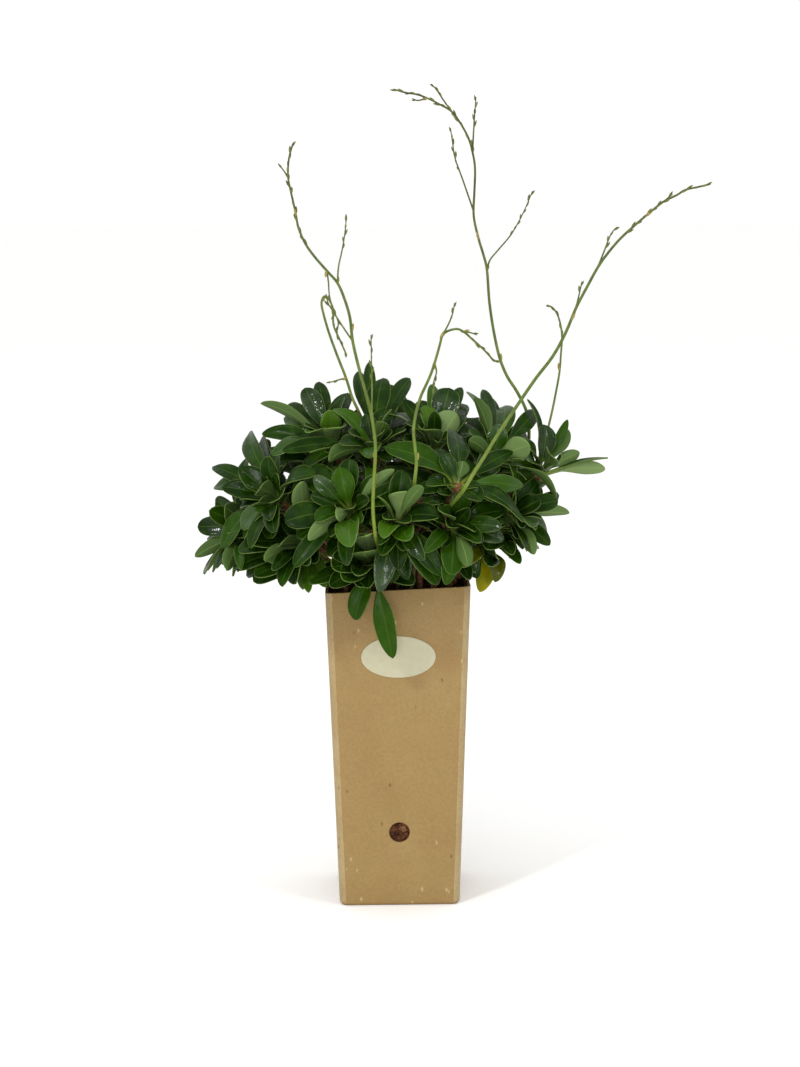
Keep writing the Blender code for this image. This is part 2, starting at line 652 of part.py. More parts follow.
def clear_line(owner, foot, at, axis, radii, rods):
    """The least swayed line of a stem from the compost that is clear of the other stems' rods."""
    others = [(q, s) for other, q, s in rods if other != owner]
    for size in (0, 4, 7, 10, 13, 17, 21, 26):
        for turn in range(8 if size else 1):
            sway = Vector((math.cos(turn * math.pi / 4), math.sin(turn * math.pi / 4), 0)) * size * MM
            points = stem_line(foot, at, axis, sway)
            own = beads(points, radii)
            if all((p - q).length > r + s + 0.7 * MM for p, r in own for q, s in others):
                rods += [(owner, p, r) for p, r in own]
                return points
    print(owner, "isn't clear of the other stems")
    return stem_line(foot, at, axis, Vector((0, 0, 0)))


def rod_shape(points, radii):
    """A six-sided rod along points as the shapes that a leaf is kept clear of."""
    corners, faces = [], []
    first = (points[1] - points[0]).orthogonal()
    for i, (p, radius) in enumerate(zip(points, radii)):
        along = (points[min(i + 1, len(points) - 1)] - points[max(i - 1, 0)]).normalized()
        first = (first - along * first.dot(along)).normalized()
        second = along.cross(first)
        for k in range(6):
            a = k * math.pi / 3
            wide = radius / math.cos(math.pi / 6)
            corners.append(p + (first * math.cos(a) + second * math.sin(a)) * wide)
        if i:
            n = 6 * (i - 1)
            faces += [(n + k, n + (k + 1) % 6, n + 6 + (k + 1) % 6, n + 6 + k) for k in range(6)]
    middle = sum(points, Vector()) / len(points)
    reach = max((p - middle).length for p in corners)
    return BVHTree.FromPolygons(corners, faces), None, middle, reach


def rosettes():
    """Every rosette: where its growing tip is, the way it points, and what leaves it bears."""
    made = []
    for name, px, py, depth, extra, seen in FRONT_ROSETTES:
        made.append({"name": name, "at": at_depth(px, py, depth * MM), "extra": extra, "seen": seen})
    for name, azimuth, height, share, extra in BACK_ROSETTES:
        a, h = math.radians(azimuth), math.radians(height)
        way = Vector((math.cos(a) * math.cos(h), math.sin(a) * math.cos(h), math.sin(h)))
        at = DOME_CENTRE + Vector([w * r * share for w, r in zip(way, DOME_RADII)])
        made.append({"name": name, "at": at, "extra": extra, "seen": ()})
    for index, rosette in enumerate(made):
        axis = (rosette["at"] - STEM_ROOT).normalized()
        rosette["axis"] = axis
        rosette["first"] = axis.orthogonal().normalized()
        rosette["second"] = axis.cross(rosette["first"])
        rosette["phase"] = index * 1.7
        rosette["node"] = "rosette_" + rosette["name"]
    return made


def slots():
    """Where stems may stand in the compost: rings of evenly spaced places."""
    return [(r * math.cos(2 * math.pi * (i + ring / 2) / n), r * math.sin(2 * math.pi * (i + ring / 2) / n))
            for ring, (r, n) in enumerate(SLOT_RINGS) for i in range(n)]


def give_feet(plants):
    """Each stem takes the free slot nearest to the way it leans, those that lean furthest first."""
    free = slots()
    feet = {}
    for name, at in sorted(plants, key=lambda p: -math.hypot(p[1].x, p[1].y) + p[1].z * 0.2):
        wish = Vector((at.x, at.y)) * 0.42
        if wish.length > 38 * MM:
            wish = wish.normalized() * 38 * MM
        feet[name] = min(free, key=lambda s: (Vector(s) - wish).length)
        free.remove(feet[name])
    return feet


# The flower stems


def flower_lines(entry):
    """World points of a flower stem's main line and of its twigs."""
    name, near, far, thick, thin, main, twigs = entry
    heights = [py for _, py in main]

    def depth(py):
        share = (heights[0] - py) / (heights[0] - min(heights))
        return (near + (far - near) * max(0, min(1, share)) ** 0.8) * MM

    lines = [[at_depth(px, py, depth(py)) for px, py in main]]
    for index, twig in enumerate(twigs):
        start = depth(twig[0][1])
        away = (6 if index % 2 else -6) * MM
        lines.append([at_depth(px, py, start + away * i / (len(twig) - 1)) for i, (px, py) in enumerate(twig)])
    return lines


def walk(points, spacing, share):
    """Places and directions along the last share of a line, a spacing apart."""
    lengths = [(b - a).length for a, b in zip(points, points[1:])]
    total = sum(lengths)
    at, found = total - spacing * 0.55, []
    while at > total * (1 - share):
        run = 0
        for a, b, length in zip(points, points[1:], lengths):
            if run + length >= at:
                found.append((a.lerp(b, (at - run) / length), (b - a).normalized()))
                break
            run += length
        at -= spacing
    return found


def spikelet(at, along, turn, name, collection):
    """A closed bud in its bract: a slim three-sided spindle leaning off the twig."""
    bm = bmesh.new()
    bmesh.ops.create_uvsphere(bm, u_segments=3, v_segments=2, radius=1)
    bmesh.ops.scale(bm, vec=(SPIKELET_RADIUS, SPIKELET_RADIUS, SPIKELET_LENGTH / 2), verts=bm.verts)
    side = along.orthogonal().normalized()
    side.rotate(Matrix.Rotation(turn, 3, along))
    pose = (along + side * 0.32).normalized().to_track_quat("Z", "Y").to_matrix()
    bmesh.ops.rotate(bm, matrix=pose, verts=bm.verts)
    bmesh.ops.translate(bm, vec=at + side * 0.55 * MM, verts=bm.verts)
    return object_from(bm, name, collection)


def make_flower_stem(entry, run, collection, helpers):
    """One flower stem: its run up from the compost, the main line, the twigs and their buds, fused."""
    name, near, far, thick, thin, main, twigs = entry
    lines = flower_lines(entry)
    points = run + lines[0][1:]
    ends = len(points) - 1
    radii = [(thick + (thin - thick) * max(0, i - 5) / (ends - 5)) * MM for i in range(ends + 1)]
    stem = tube("flower_stem_" + name, points, radii, 4, collection)
    turn = 0
    for index, line in enumerate(lines):
        if index:
            radii = [TWIG_RADIUS * (1.15 - 0.3 * i / (len(line) - 1)) for i in range(len(line))]
            tube("twig", line, radii, 4, helpers)
        for at, along in walk(line, SPIKELET_STEP, 0.6 if index else SPIKE_SHARE):
            spikelet(at, along, turn, "spikelet", helpers)
            turn += GOLDEN_ANGLE
    boolean(stem, "UNION", helpers)
    remove_all(helpers)
    return stem


def grow_clump():
    """Decides every line and pose of the plant: the stems first, then each leaf where there is room."""
    plants = rosettes()
    starts = [(r["node"], r["at"]) for r in plants]
    starts += [(e[0], flower_lines(e)[0][0]) for e in FLOWER_STEMS]
    feet = give_feet(starts)
    rods = [(r["node"], r["at"], APEX_RADIUS) for r in plants]
    for entry in FLOWER_STEMS:
        shown = flower_lines(entry)[0]
        rods += [(entry[0], p, r) for p, r in beads(shown, [entry[3] * MM] * len(shown))]

    clump = Clump()
    runs = {}
    for entry in FLOWER_STEMS:
        name, near, far, thick = entry[:4]
        lines = flower_lines(entry)
        inward = ((lines[0][1] - lines[0][0]).normalized() - FORWARD).normalized()
        runs[name] = clear_line(name, feet[name], lines[0][0], inward, [thick * MM] * 6, rods)
        for line in (runs[name], *lines):
            wide = thick * MM if line is runs[name] else SPIKELET_REACH
            clump.placed.append((name, *rod_shape(line, [wide] * len(line))))
    for rosette in plants:
        node = rosette["node"]
        runs[node] = clear_line(node, feet[node], rosette["at"], rosette["axis"], STEM_RADII, rods)
        clump.placed.append((node, *rod_shape(runs[node], STEM_RADII)))

    leaves = {r["node"]: [] for r in plants}
    for turn in range(max(len(r["seen"]) for r in plants)):
        for rosette in plants:
            if turn < len(rosette["seen"]):
                entry = rosette["seen"][turn]
                tries = seen_leaf_tries(rosette, entry)
                leaves[rosette["node"]].append(clump.place(rosette["node"], tries, shown=True))
    rng = random.Random(11)
    for turn in range(max(r["extra"] for r in plants)):
        for rosette in plants:
            if turn < rosette["extra"]:
                tries = rule_leaf_tries(rosette, turn, rosette["extra"], rng)
                leaves[rosette["node"]].append(clump.place(rosette["node"], tries))
    return plants, runs, leaves, clump


def main():
    for obj in list(bpy.data.objects):
        bpy.data.objects.remove(obj)
    parts = new_collection("potted_goniolimon")
    cutters = new_collection("cutters")
    helpers = new_collection("helpers")

    board = material("brown_board", (0.40, 0.26, 0.12), 0.6)
    peat = material("compost", (0.045, 0.022, 0.012), 0.95)
    paper = material("label_paper", (0.72, 0.68, 0.48), 0.6)
    leaf_green = material("leaf", (0.03, 0.085, 0.02), 0.35)
    stem_green = material("flower_stem", (0.16, 0.24, 0.05), 0.5)

    pot = make_pot(parts, cutters)
    remove_all(cutters)
    pot.data.materials.append(board)
    make_label(parts).data.materials.append(paper)
    compost = make_compost(parts, cutters)
    compost.data.materials.append(peat)

    plants, runs, leaves, clump = grow_clump()
    holes = []
    for entry in FLOWER_STEMS:
        stem = make_flower_stem(entry, runs[entry[0]], parts, helpers)
        stem.data.materials.append(stem_green)
        holes.append((*runs[entry[0]][0].xy, entry[3] * MM))
    stems = []
    for rosette in plants:
        stem = tube(rosette["node"], runs[rosette["node"]], STEM_RADII, 6, parts)
        stem.data.materials.append(leaf_green)
        holes.append((*runs[rosette["node"]][0].xy, STEM_RADIUS))
        stems.append(stem)
    bore_compost(compost, holes, cutters)
    missed = {n: [i for i, leaf in enumerate(found) if leaf is None] for n, found in leaves.items()}
    print("leaves", sum(len(f) for f in leaves.values()), "missed", {n: m for n, m in missed.items() if m})
    for stem in stems:
        for leaf in filter(None, leaves[stem.name]):
            leaf_object(leaf, "leaf", helpers)
        boolean(stem, "UNION", helpers)
        fill_sealed(stem)
        remove_all(helpers)
    for spare in (cutters, helpers):
        bpy.data.collections.remove(spare)


main()
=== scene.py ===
import math
import random

import bmesh
import bpy
from mathutils import Matrix, Vector, noise
from mathutils.bvhtree import BVHTree


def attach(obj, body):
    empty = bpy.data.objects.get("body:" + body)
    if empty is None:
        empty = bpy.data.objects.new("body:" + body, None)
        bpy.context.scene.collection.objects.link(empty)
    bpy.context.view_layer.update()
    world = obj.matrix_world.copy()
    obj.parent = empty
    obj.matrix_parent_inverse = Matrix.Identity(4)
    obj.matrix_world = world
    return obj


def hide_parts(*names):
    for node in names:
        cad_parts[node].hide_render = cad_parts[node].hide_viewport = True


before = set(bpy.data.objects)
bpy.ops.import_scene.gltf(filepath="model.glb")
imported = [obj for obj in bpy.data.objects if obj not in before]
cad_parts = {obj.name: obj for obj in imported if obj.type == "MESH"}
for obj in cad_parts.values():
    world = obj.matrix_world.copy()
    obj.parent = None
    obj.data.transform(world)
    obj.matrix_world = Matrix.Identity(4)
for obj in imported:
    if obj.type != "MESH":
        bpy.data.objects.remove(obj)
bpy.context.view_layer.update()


# The pot
# A tall square nursery pot pressed from brown fibre board, with one drain hole low in its front.
# The walls are one piece with rounded upright edges that the press has left smoother; their paler colour is a
# painted sheen.

MM = 0.001
POT_HEIGHT = 220 * MM
POT_TOP = 97.5 * MM
POT_BASE = 82 * MM
POT_WALL = 1.8 * MM
POT_CORNER = 5.5 * MM
POT_FOOT = 3 * MM
RIM_FALL = 4 * MM
DRAIN_HOLE_RADIUS = 7 * MM
DRAIN_HOLE_HEIGHT = 52 * MM
GAP = 0.3 * MM


def linear(code):
    """An sRGB hex colour as linear red, green, blue and alpha."""
    parts = [int(code[i:i + 2], 16) / 255 for i in (1, 3, 5)]
    return (*[c / 12.92 if c <= 0.04045 else ((c + 0.055) / 1.055) ** 2.4 for c in parts], 1)


def add_node(material, kind, links=(), **settings):
    """Adds a node with its settings. Each link is an input and a value, or an input and the output feeding it."""
    node = material.node_tree.nodes.new(kind)
    for name, value in settings.items():
        setattr(node, name, value)
    for socket, source in dict(links).items():
        if isinstance(source, bpy.types.NodeSocket):
            material.node_tree.links.new(source, node.inputs[socket])
        else:
            node.inputs[socket].default_value = source
    return node


def new_material(name, **values):
    """A material with its shader's own values set, its Object coordinates, and its shader."""
    made = bpy.data.materials.new(name)
    made.use_nodes = True
    shader = made.node_tree.nodes["Principled BSDF"]
    for socket, value in values.items():
        shader.inputs[socket.replace("_", " ")].default_value = value
    return made, add_node(made, "ShaderNodeTexCoord").outputs["Object"], shader


def join(material, source, shader, socket):
    material.node_tree.links.new(source, shader.inputs[socket])


def colour_stops(material, factor, stops):
    """A colour ramp: pairs of a place and a hex colour."""
    ramp = add_node(material, "ShaderNodeValToRGB", {"Fac": factor})
    elements = ramp.color_ramp.elements
    while len(elements) < len(stops):
        elements.new(0.5)
    for element, (place, code) in zip(elements, stops):
        element.position = place
        element.color = linear(code)
    return ramp.outputs["Color"]


def layered(material, factor, below, above, blend="MIX"):
    """Two colours mixed by a factor. A hex code or an output may be given for either."""
    below = linear(below) if isinstance(below, str) else below
    above = linear(above) if isinstance(above, str) else above
    mix = add_node(material, "ShaderNodeMix", {}, data_type="RGBA", blend_type=blend)
    for socket, source in ((0, factor), (6, below), (7, above)):
        if isinstance(source, bpy.types.NodeSocket):
            material.node_tree.links.new(source, mix.inputs[socket])
        else:
            mix.inputs[socket].default_value = source
    return mix.outputs[2]


def spread(material, value, low, high, to_low=0.0, to_high=1.0):
    """A value's range stretched to another, and held at its ends."""
    found = add_node(material, "ShaderNodeMapRange", {
        "Value": value, "From Min": low, "From Max": high, "To Min": to_low, "To Max": to_high})
    return found.outputs["Result"]


def board_material(name, light, dark, roughness):
    """Pressed fibre board: matt and nearly even, clouded over 30 mm, with fibres of 1 mm and a few flecks."""
    made, place, shader = new_material(name, Roughness=roughness, Specular_IOR_Level=0.3)
    mottle = add_node(made, "ShaderNodeTexNoise", {"Vector": place, "Scale": 34, "Detail": 3}).outputs["Fac"]
    fibre = add_node(made, "ShaderNodeTexNoise", {"Vector": place, "Scale": 620, "Detail": 5}).outputs["Fac"]
    body = colour_stops(made, spread(made, mottle, 0.3, 0.7), ((0, dark), (1, light)))
    body = layered(made, spread(made, fibre, 0.42, 0.68, 0, 0.3), body, "#6f5730")
    stretch = add_node(made, "ShaderNodeMapping", {"Vector": place, "Scale": (1, 1, 0.55)}).outputs["Vector"]
    cells = add_node(made, "ShaderNodeTexVoronoi", {"Vector": stretch, "Scale": 170})
    speck = spread(made, cells.outputs["Distance"], 0.09, 0.18, 1, 0)
    picked = add_node(made, "ShaderNodeSeparateColor", {"Color": cells.outputs["Color"]}).outputs
    few = spread(made, picked["Red"], 0.9, 0.92)
    dark_speck = add_node(made, "ShaderNodeMath", {0: speck, 1: few}, operation="MULTIPLY").outputs[0]
    pale_few = spread(made, picked["Green"], 0.8, 0.82)
    pale_speck = add_node(made, "ShaderNodeMath", {0: speck, 1: pale_few}, operation="MULTIPLY").outputs[0]
    body = layered(made, spread(made, pale_speck, 0, 1, 0, 0.6), body, "#b29d72")
    body = layered(made, spread(made, dark_speck, 0, 1, 0, 0.75), body, "#5a4426")
    join(made, body, shader, "Base Color")
    bump = add_node(made, "ShaderNodeBump", {"Height": fibre, "Strength": 0.25, "Distance": 0.0005})
    join(made, bump.outputs["Normal"], shader, "Normal")
    return made


def half_size(z):
    """Half the pot's outside width at a height."""
    return (POT_BASE + (POT_TOP - POT_BASE) * z / POT_HEIGHT) / 2


def rim_height(x):
    """The rim is hand cut: its left end is lower than its right."""
    return POT_HEIGHT + RIM_FALL * x / POT_TOP


def finish_mesh(bm, name, *materials):
    """The bmesh as a smooth-shaded object at the origin, riding on the pot's body."""
    bm.normal_update()
    mesh = bpy.data.meshes.new(name)
    bm.to_mesh(mesh)
    bm.free()
    for made in materials:
        mesh.materials.append(made)
    obj = bpy.data.objects.new(name, mesh)
    bpy.context.scene.collection.objects.link(obj)
    mesh.polygons.foreach_set("use_smooth", [True] * len(mesh.polygons))
    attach(obj, "root")
    return obj


def baked(obj):
    """Applies all of an object's modifiers."""
    bpy.context.view_layer.update()
    graph = bpy.context.evaluated_depsgraph_get()
    mesh = bpy.data.meshes.new_from_object(obj.evaluated_get(graph))
    obj.modifiers.clear()
    obj.data = mesh
    return obj


# The board is matt, so the walls read as pressed paper pulp. The press has left its upright edges smoother, and
# their paler colour is a painted sheen, the line of light that the rounded corners catch.
board = board_material("pressed_fibre_board", "#8c7345", "#876c3f", 0.62)
smooth_edge_board_painted_sheen = board_material("smooth_pot_edge_painted_sheen", "#9d8b64", "#937c54", 0.45)

bm = bmesh.new()
bmesh.ops.create_cube(bm, size=1)
for v in bm.verts:
    height = (v.co.z + 0.5) * POT_HEIGHT
    v.co = Vector((math.copysign(half_size(height), v.co.x), math.copysign(half_size(height), v.co.y), height))
upright = [e for e in bm.edges if abs(e.verts[0].co.z - e.verts[1].co.z) > POT_HEIGHT / 2]
bmesh.ops.bevel(bm, geom=upright, offset=POT_CORNER, segments=8, profile=0.5, affect="EDGES", material=-1)
base = [e for e in bm.edges if max(v.co.z for v in e.verts) < MM]
bmesh.ops.bevel(bm, geom=base, offset=POT_FOOT, segments=5, profile=0.5, affect="EDGES", material=-1)
bmesh.ops.delete(bm, geom=[f for f in bm.faces if min(v.co.z for v in f.verts) > POT_HEIGHT - MM],
                 context="FACES_ONLY")
for v in bm.verts:
    if v.co.z > POT_HEIGHT - MM:
        v.co.z = rim_height(v.co.x)
# Faces on the rounded upright edges take the smoother board with the paler, painted sheen.
for f in bm.faces:
    f.normal_update()
    f.material_index = int(min(abs(f.normal.x), abs(f.normal.y)) > 0.12 and abs(f.normal.z) < 0.3)
pot = finish_mesh(bm, "pot_shell", board, smooth_edge_board_painted_sheen)
wall = pot.modifiers.new("wall", "SOLIDIFY")
wall.thickness = POT_WALL
wall.offset = -1
wall.use_even_offset = True
drill = bmesh.new()
bmesh.ops.create_cone(drill, cap_ends=True, segments=48, radius1=DRAIN_HOLE_RADIUS,
                      radius2=DRAIN_HOLE_RADIUS, depth=12 * MM)
bmesh.ops.transform(drill, verts=drill.verts, matrix=Matrix.Translation(
    (0, -half_size(DRAIN_HOLE_HEIGHT), DRAIN_HOLE_HEIGHT)) @ Matrix.Rotation(math.radians(90), 4, "X"))
cutter = finish_mesh(drill, "drain_hole_cutter")
cut = pot.modifiers.new("drain_hole", "BOOLEAN")
cut.object = cutter
cut.solver = "EXACT"
baked(pot)
bpy.data.objects.remove(cutter)
soft_edge = pot.modifiers.new("soft_edge", "BEVEL")
soft_edge.width = 0.35 * MM
soft_edge.segments = 2
soft_edge.limit_method = "ANGLE"
soft_edge.angle_limit = math.radians(50)
soft_edge.harden_normals = False
baked(pot)
bpy.context.view_layer.objects.active = pot
for obj in bpy.context.selected_objects:
    obj.select_set(False)
pot.select_set(True)
bpy.ops.object.shade_auto_smooth(angle=math.radians(30))
baked(pot)
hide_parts("pot")


# The label
# An oval sticker of cream coated paper on the front, a hand's breadth under the rim, with nothing on it.
# It is die-cut, so its edge is thin and clean.

LABEL_SIZE = (50 * MM, 28.5 * MM)
LABEL_THICKNESS = 0.5 * MM
LABEL_HEIGHT = 172 * MM
LABEL_RAISE = 2.4 * MM

# A coated paper with a faint grain: it stands off the dull board as a clean pale oval.
coated_paper, place, shader = new_material("coated_cream_paper", Roughness=0.5, Specular_IOR_Level=0.4)
grain = add_node(coated_paper, "ShaderNodeTexNoise", {"Vector": place, "Scale": 260, "Detail": 3}).outputs["Fac"]
join(coated_paper, colour_stops(coated_paper, grain, ((0.3, "#a39e82"), (0.7, "#a8a388"))), shader, "Base Color")

bm = bmesh.new()
bmesh.ops.create_cone(bm, cap_ends=True, segments=96, radius1=0.5, radius2=0.5, depth=1)
bmesh.ops.scale(bm, vec=(*LABEL_SIZE, LABEL_THICKNESS), verts=bm.verts)
bmesh.ops.bevel(bm, geom=[e for e in bm.edges if abs(e.verts[0].co.z - e.verts[1].co.z) < 1e-6],
                offset=0.1 * MM, segments=2, profile=0.5, affect="EDGES", material=-1)
slope = math.atan2((POT_TOP - POT_BASE) / 2, POT_HEIGHT)
bmesh.ops.rotate(bm, matrix=Matrix.Rotation(math.radians(90) + slope, 3, "X"), verts=bm.verts)
out = GAP / 2 + LABEL_THICKNESS / 2
centre = LABEL_HEIGHT + LABEL_RAISE
bmesh.ops.translate(bm, vec=(0, -half_size(centre) - out, centre), verts=bm.verts)
label = finish_mesh(bm, "label_sticker", coated_paper)
label.data.polygons.foreach_set("use_smooth", [False] * len(label.data.polygons))
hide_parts("label")


# The compost
# Dark peat that fills the pot to just under the rim and shows in the drain hole. Its top is a low lumpy mound
# strewn with crumbs.

COMPOST_BELOW_RIM = 8 * MM
COMPOST_MOUND = 5 * MM
COMPOST_LUMP = 1.1 * MM


def compost_top(x, y):
    """Height of the compost: a low mound with lumps."""
    share = min(1, (x * x + y * y) / (POT_TOP / 2) ** 2)
    lumps = math.sin(x * 410 + 1) * math.cos(y * 370) + 0.6 * math.sin(x * 830 - y * 760)
    return POT_HEIGHT - COMPOST_BELOW_RIM + COMPOST_MOUND * (1 - share) + COMPOST_LUMP * lumps


# Moist peat is rough. Its top among the stems is painted nearly black as shade under the leaves; low in the pot,
# at the drain hole, it keeps its own red-brown.
peat, place, shader = new_material("peat_with_painted_shade", Roughness=0.92, Specular_IOR_Level=0.25)
clods = add_node(peat, "ShaderNodeTexNoise", {"Vector": place, "Scale": 190, "Detail": 6}).outputs["Fac"]
leaf_film_and_peat_shade = colour_stops(peat, clods, ((0.3, "#120903"), (0.5, "#2c1a0c"), (0.62, "#46301a"), (0.75, "#6a4c30")))
peat_own_red_brown = colour_stops(peat, clods, ((0.3, "#321709"), (0.5, "#57321b"), (0.66, "#6a4428"), (0.76, "#927050")))
level = add_node(peat, "ShaderNodeSeparateXYZ", {"Vector": place}).outputs["Z"]
# Below 80 mm the peat keeps its own red-brown; above 160 mm it takes the colours of the painted shade.
join(peat, layered(peat, spread(peat, level, 0.08, 0.16), peat_own_red_brown, leaf_film_and_peat_shade), shader, "Base Color")
crumb_bump = add_node(peat, "ShaderNodeBump", {"Height": clods, "Strength": 0.9, "Distance": 0.002})
join(peat, crumb_bump.outputs["Normal"], shader, "Normal")

rng = random.Random(5)
bm = bmesh.new()
bmesh.ops.create_grid(bm, x_segments=70, y_segments=70, size=1)
inner = POT_WALL + GAP
for v in bm.verts:
    x, y = v.co.x, v.co.y
    half = half_size(POT_HEIGHT - COMPOST_BELOW_RIM) - inner
    round_off = 1 - 0.06 * (abs(x) * abs(y)) ** 6
    spot = Vector((x * half * round_off, y * half * round_off, 0))
    lift = noise.fractal(spot * 260, 1.0, 2.0, 4) * 1.5 * MM
    v.co = Vector((spot.x, spot.y, compost_top(spot.x, spot.y) + lift))
skirt = bmesh.ops.extrude_edge_only(bm, edges=[e for e in bm.edges if e.is_boundary])
for v in [g for g in skirt["geom"] if isinstance(g, bmesh.types.BMVert)]:
    share = (half_size(POT_WALL + GAP) - inner) / (half_size(POT_HEIGHT - COMPOST_BELOW_RIM) - inner)
    v.co = Vector((v.co.x * share, v.co.y * share, POT_WALL + GAP))
bmesh.ops.contextual_create(bm, geom=[e for e in bm.edges if e.is_boundary])


def add_crumb(spot, size):
    """One crumb: a small ball of twenty faces, dented at random."""
    lump = bmesh.ops.create_icosphere(bm, subdivisions=1, radius=size)
    for v in lump["verts"]:
        v.co = v.co * rng.uniform(0.6, 1.25)
    bmesh.ops.scale(bm, vec=(1, rng.uniform(0.6, 1.3), rng.uniform(0.5, 0.9)), verts=lump["verts"])
    bmesh.ops.translate(bm, vec=spot, verts=lump["verts"])


for i in range(900):
    x, y = rng.uniform(-0.9, 0.9), rng.uniform(-0.93, 0.93)
    x, y = x * half, y * half
    add_crumb(Vector((x, y, compost_top(x, y) + rng.uniform(0, 1.2) * MM)), rng.uniform(0.5, 1.7) * MM)
for i in range(90):
    a, r = rng.uniform(0, 2 * math.pi), math.sqrt(rng.random()) * (DRAIN_HOLE_RADIUS - 1.6 * MM)
    z = DRAIN_HOLE_HEIGHT + r * math.sin(a)
    add_crumb(Vector((r * math.cos(a), -half_size(z) + inner - 0.2 * MM, z)), rng.uniform(0.7, 1.5) * MM)
bmesh.ops.recalc_face_normals(bm, faces=bm.faces)
root_ball = finish_mesh(bm, "peat_root_ball", peat)
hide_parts("compost")


# The plan of the plant
# Where each stem stands and runs, and how each leaf lies, by the same rule as the solids: the stems are
# swayed clear of each other, then leaves are laid one by one where there is room.

STEM_SUNK = 24 * MM
DOME_CENTRE = Vector((-7 * MM, 0, POT_HEIGHT + 18 * MM))
DOME_RADII = Vector((130 * MM, 116 * MM, 112 * MM))
STEM_ROOT = Vector((0, 0, POT_HEIGHT - 30 * MM))
STEM_RADIUS = 2.3 * MM
APEX_RADIUS = 4.2 * MM
STEM_RADII = [STEM_RADIUS] * 3 + [STEM_RADIUS * 1.1, STEM_RADIUS * 1.5, APEX_RADIUS]
SLOT_RINGS = ((39 * MM, 14), (26 * MM, 10), (12 * MM, 6))
VIEW_DISTANCE = 1600 * MM
VIEW_TARGET = Vector((2.4 * MM, 0, 251 * MM))
VIEW_AZIMUTH = math.radians(-1.0)
VIEW_ELEVATION = math.radians(8.45)
VIEW_ROLL = math.radians(-0.37)
VIEW_FOCAL = 2335
VIEW_MIDDLE = (400, 533.5)
LEAF_RINGS = (0.28, 0.6, 0.87)
LEAF_THICKNESS = 1.5 * MM
PETIOLE_HALF_WIDTH = 1.3 * MM
PETIOLE_THICKNESS = 2.0 * MM
GOLDEN_ANGLE = math.radians(137.508)
SPIKELET_REACH = 2.8 * MM
FRONT_ROSETTES = (
    ("left_low", 258, 532, -12, 6, (
        (210, 511, 17, "o"), (197, 527, 19, "o"), (196, 556, 14, "u"), (217, 569, 10, "e"),
        (227, 570, 15, "u"), (240, 566, 12, "e"))),
    ("left_mid", 280, 500, -40, 6, (
        (212, 466, 15, "o"), (211, 484, 15, "o"), (222, 487, 18, "o"), (239, 469, 21, "o"),
        (245, 429, 18, "o"), (267, 458, 17, "o"), (251, 548, 15, "o"), (242, 527, 19, "o", -64))),
    ("left_top", 334, 446, -30, 6, (
        (264, 401, 13, "u"), (282, 402, 15, "o"), (305, 389, 19, "o", -8), (280, 417, 15, "o"),
        (319, 381, 15, "o"), (299, 404, 14, "o"), (262, 434, 16, "o"), (330, 411, 19, "o"))),
    ("top_left", 374, 450, -42, 5, (
        (341, 444, 16, "o"), (324, 459, 15, "u"), (310, 454, 10, "e"), (347, 392, 9, "e"),
        (357, 371, 14, "o"), (369, 362, 12, "e"), (382, 374, 22, "o", -6), (282, 451, 13, "o"),
        (385, 421, 13, "u"), (410, 378, 15, "o"))),
    ("middle_left", 350, 512, -78, 5, (
        (314, 477, 14, "o"), (306, 539, 15, "u"), (285, 521, 25, "o"),
        (337, 518, 13, "u"), (347, 566, 15, "o"), (293, 566, 16, "o"), (394, 468, 11, "u"))),
    ("front_low", 374, 566, -60, 4, (
        (309, 585, 14, "o", -98), (354, 620, 19, "o", -70), (366, 530, 22, "u", -104),
        (333, 556, 15, "o", -102), (394, 657, 25, "o", -66))),
    ("front_middle", 396, 522, -86, 5, (
        (442, 575, 19, "o", -104), (379, 592, 20, "o", -100), (423, 560, 15, "o"), (405, 489, 23, "u"),
        (423, 484, 12, "u"), (409, 541, 20, "o"), (380, 494, 10, "e"))),
    ("front_right", 458, 484, -80, 6, (
        (463, 461, 14, "u"), (441, 454, 14, "o"), (425, 486, 12, "e"), (525, 488, 16, "o"),
        (459, 515, 20, "o"), (512, 452, 15, "o"), (482, 501, 17, "o"))),
    ("top_middle", 434, 450, -38, 5, (
        (457, 413, 26, "u"), (449, 389, 26, "o", -18), (434, 411, 13, "o"), (432, 386, 14, "o"),
        (461, 389, 13, "o"), (403, 400, 13, "o"), (468, 404, 16, "o"))),
    ("top_right", 494, 460, -42, 5, (
        (498, 425, 19, "o", -46), (468, 439, 14, "u"), (530, 445, 22, "u", -58), (505, 402, 21, "o"),
        (482, 389, 12, "o"), (468, 387, 9, "e"), (526, 428, 18, "o"), (487, 398, 14, "o"),
        (537, 411, 16, "o"), (476, 398, 14, "u"))),
    ("right_mid", 540, 474, -14, 6, (
        (559, 461, 21, "o", -36), (567, 430, 16, "u"), (577, 453, 13, "u"), (606, 469, 13, "u"),
        (608, 458, 10, "e"), (567, 420, 9, "e"), (532, 397, 9, "e"), (545, 424, 19, "o"))),
    ("right_low", 508, 517, -44, 6, (
        (549, 544, 15, "o"), (569, 513, 13, "u"), (534, 554, 14, "u"), (526, 552, 9, "e"),
        (563, 495, 13, "o"))),
    ("right_under", 486, 541, -44, 3, (
        (480, 592, 19, "o", -62), (498, 581, 18, "o", -60), (512, 551, 14, "o"), (462, 568, 12, "o"),
        (520, 563, 12, "o"))),
    ("front_right_low", 452, 526, -74, 5, (
        (451, 575, 23, "o"), (479, 542, 17, "o"), (503, 540, 16, "o"), (501, 527, 15, "o"),
        (427, 550, 14, "o"), (468, 566, 14, "u"))),
    ("left_under", 314, 546, -48, 5, (
        (280, 582, 17, "o"), (275, 566, 13, "o"), (302, 590, 12, "u", -84), (309, 594, 11, "e", -86),
        (326, 588, 15, "o", -84), (262, 560, 14, "u"), (301, 481, 18, "u", -78))),
)
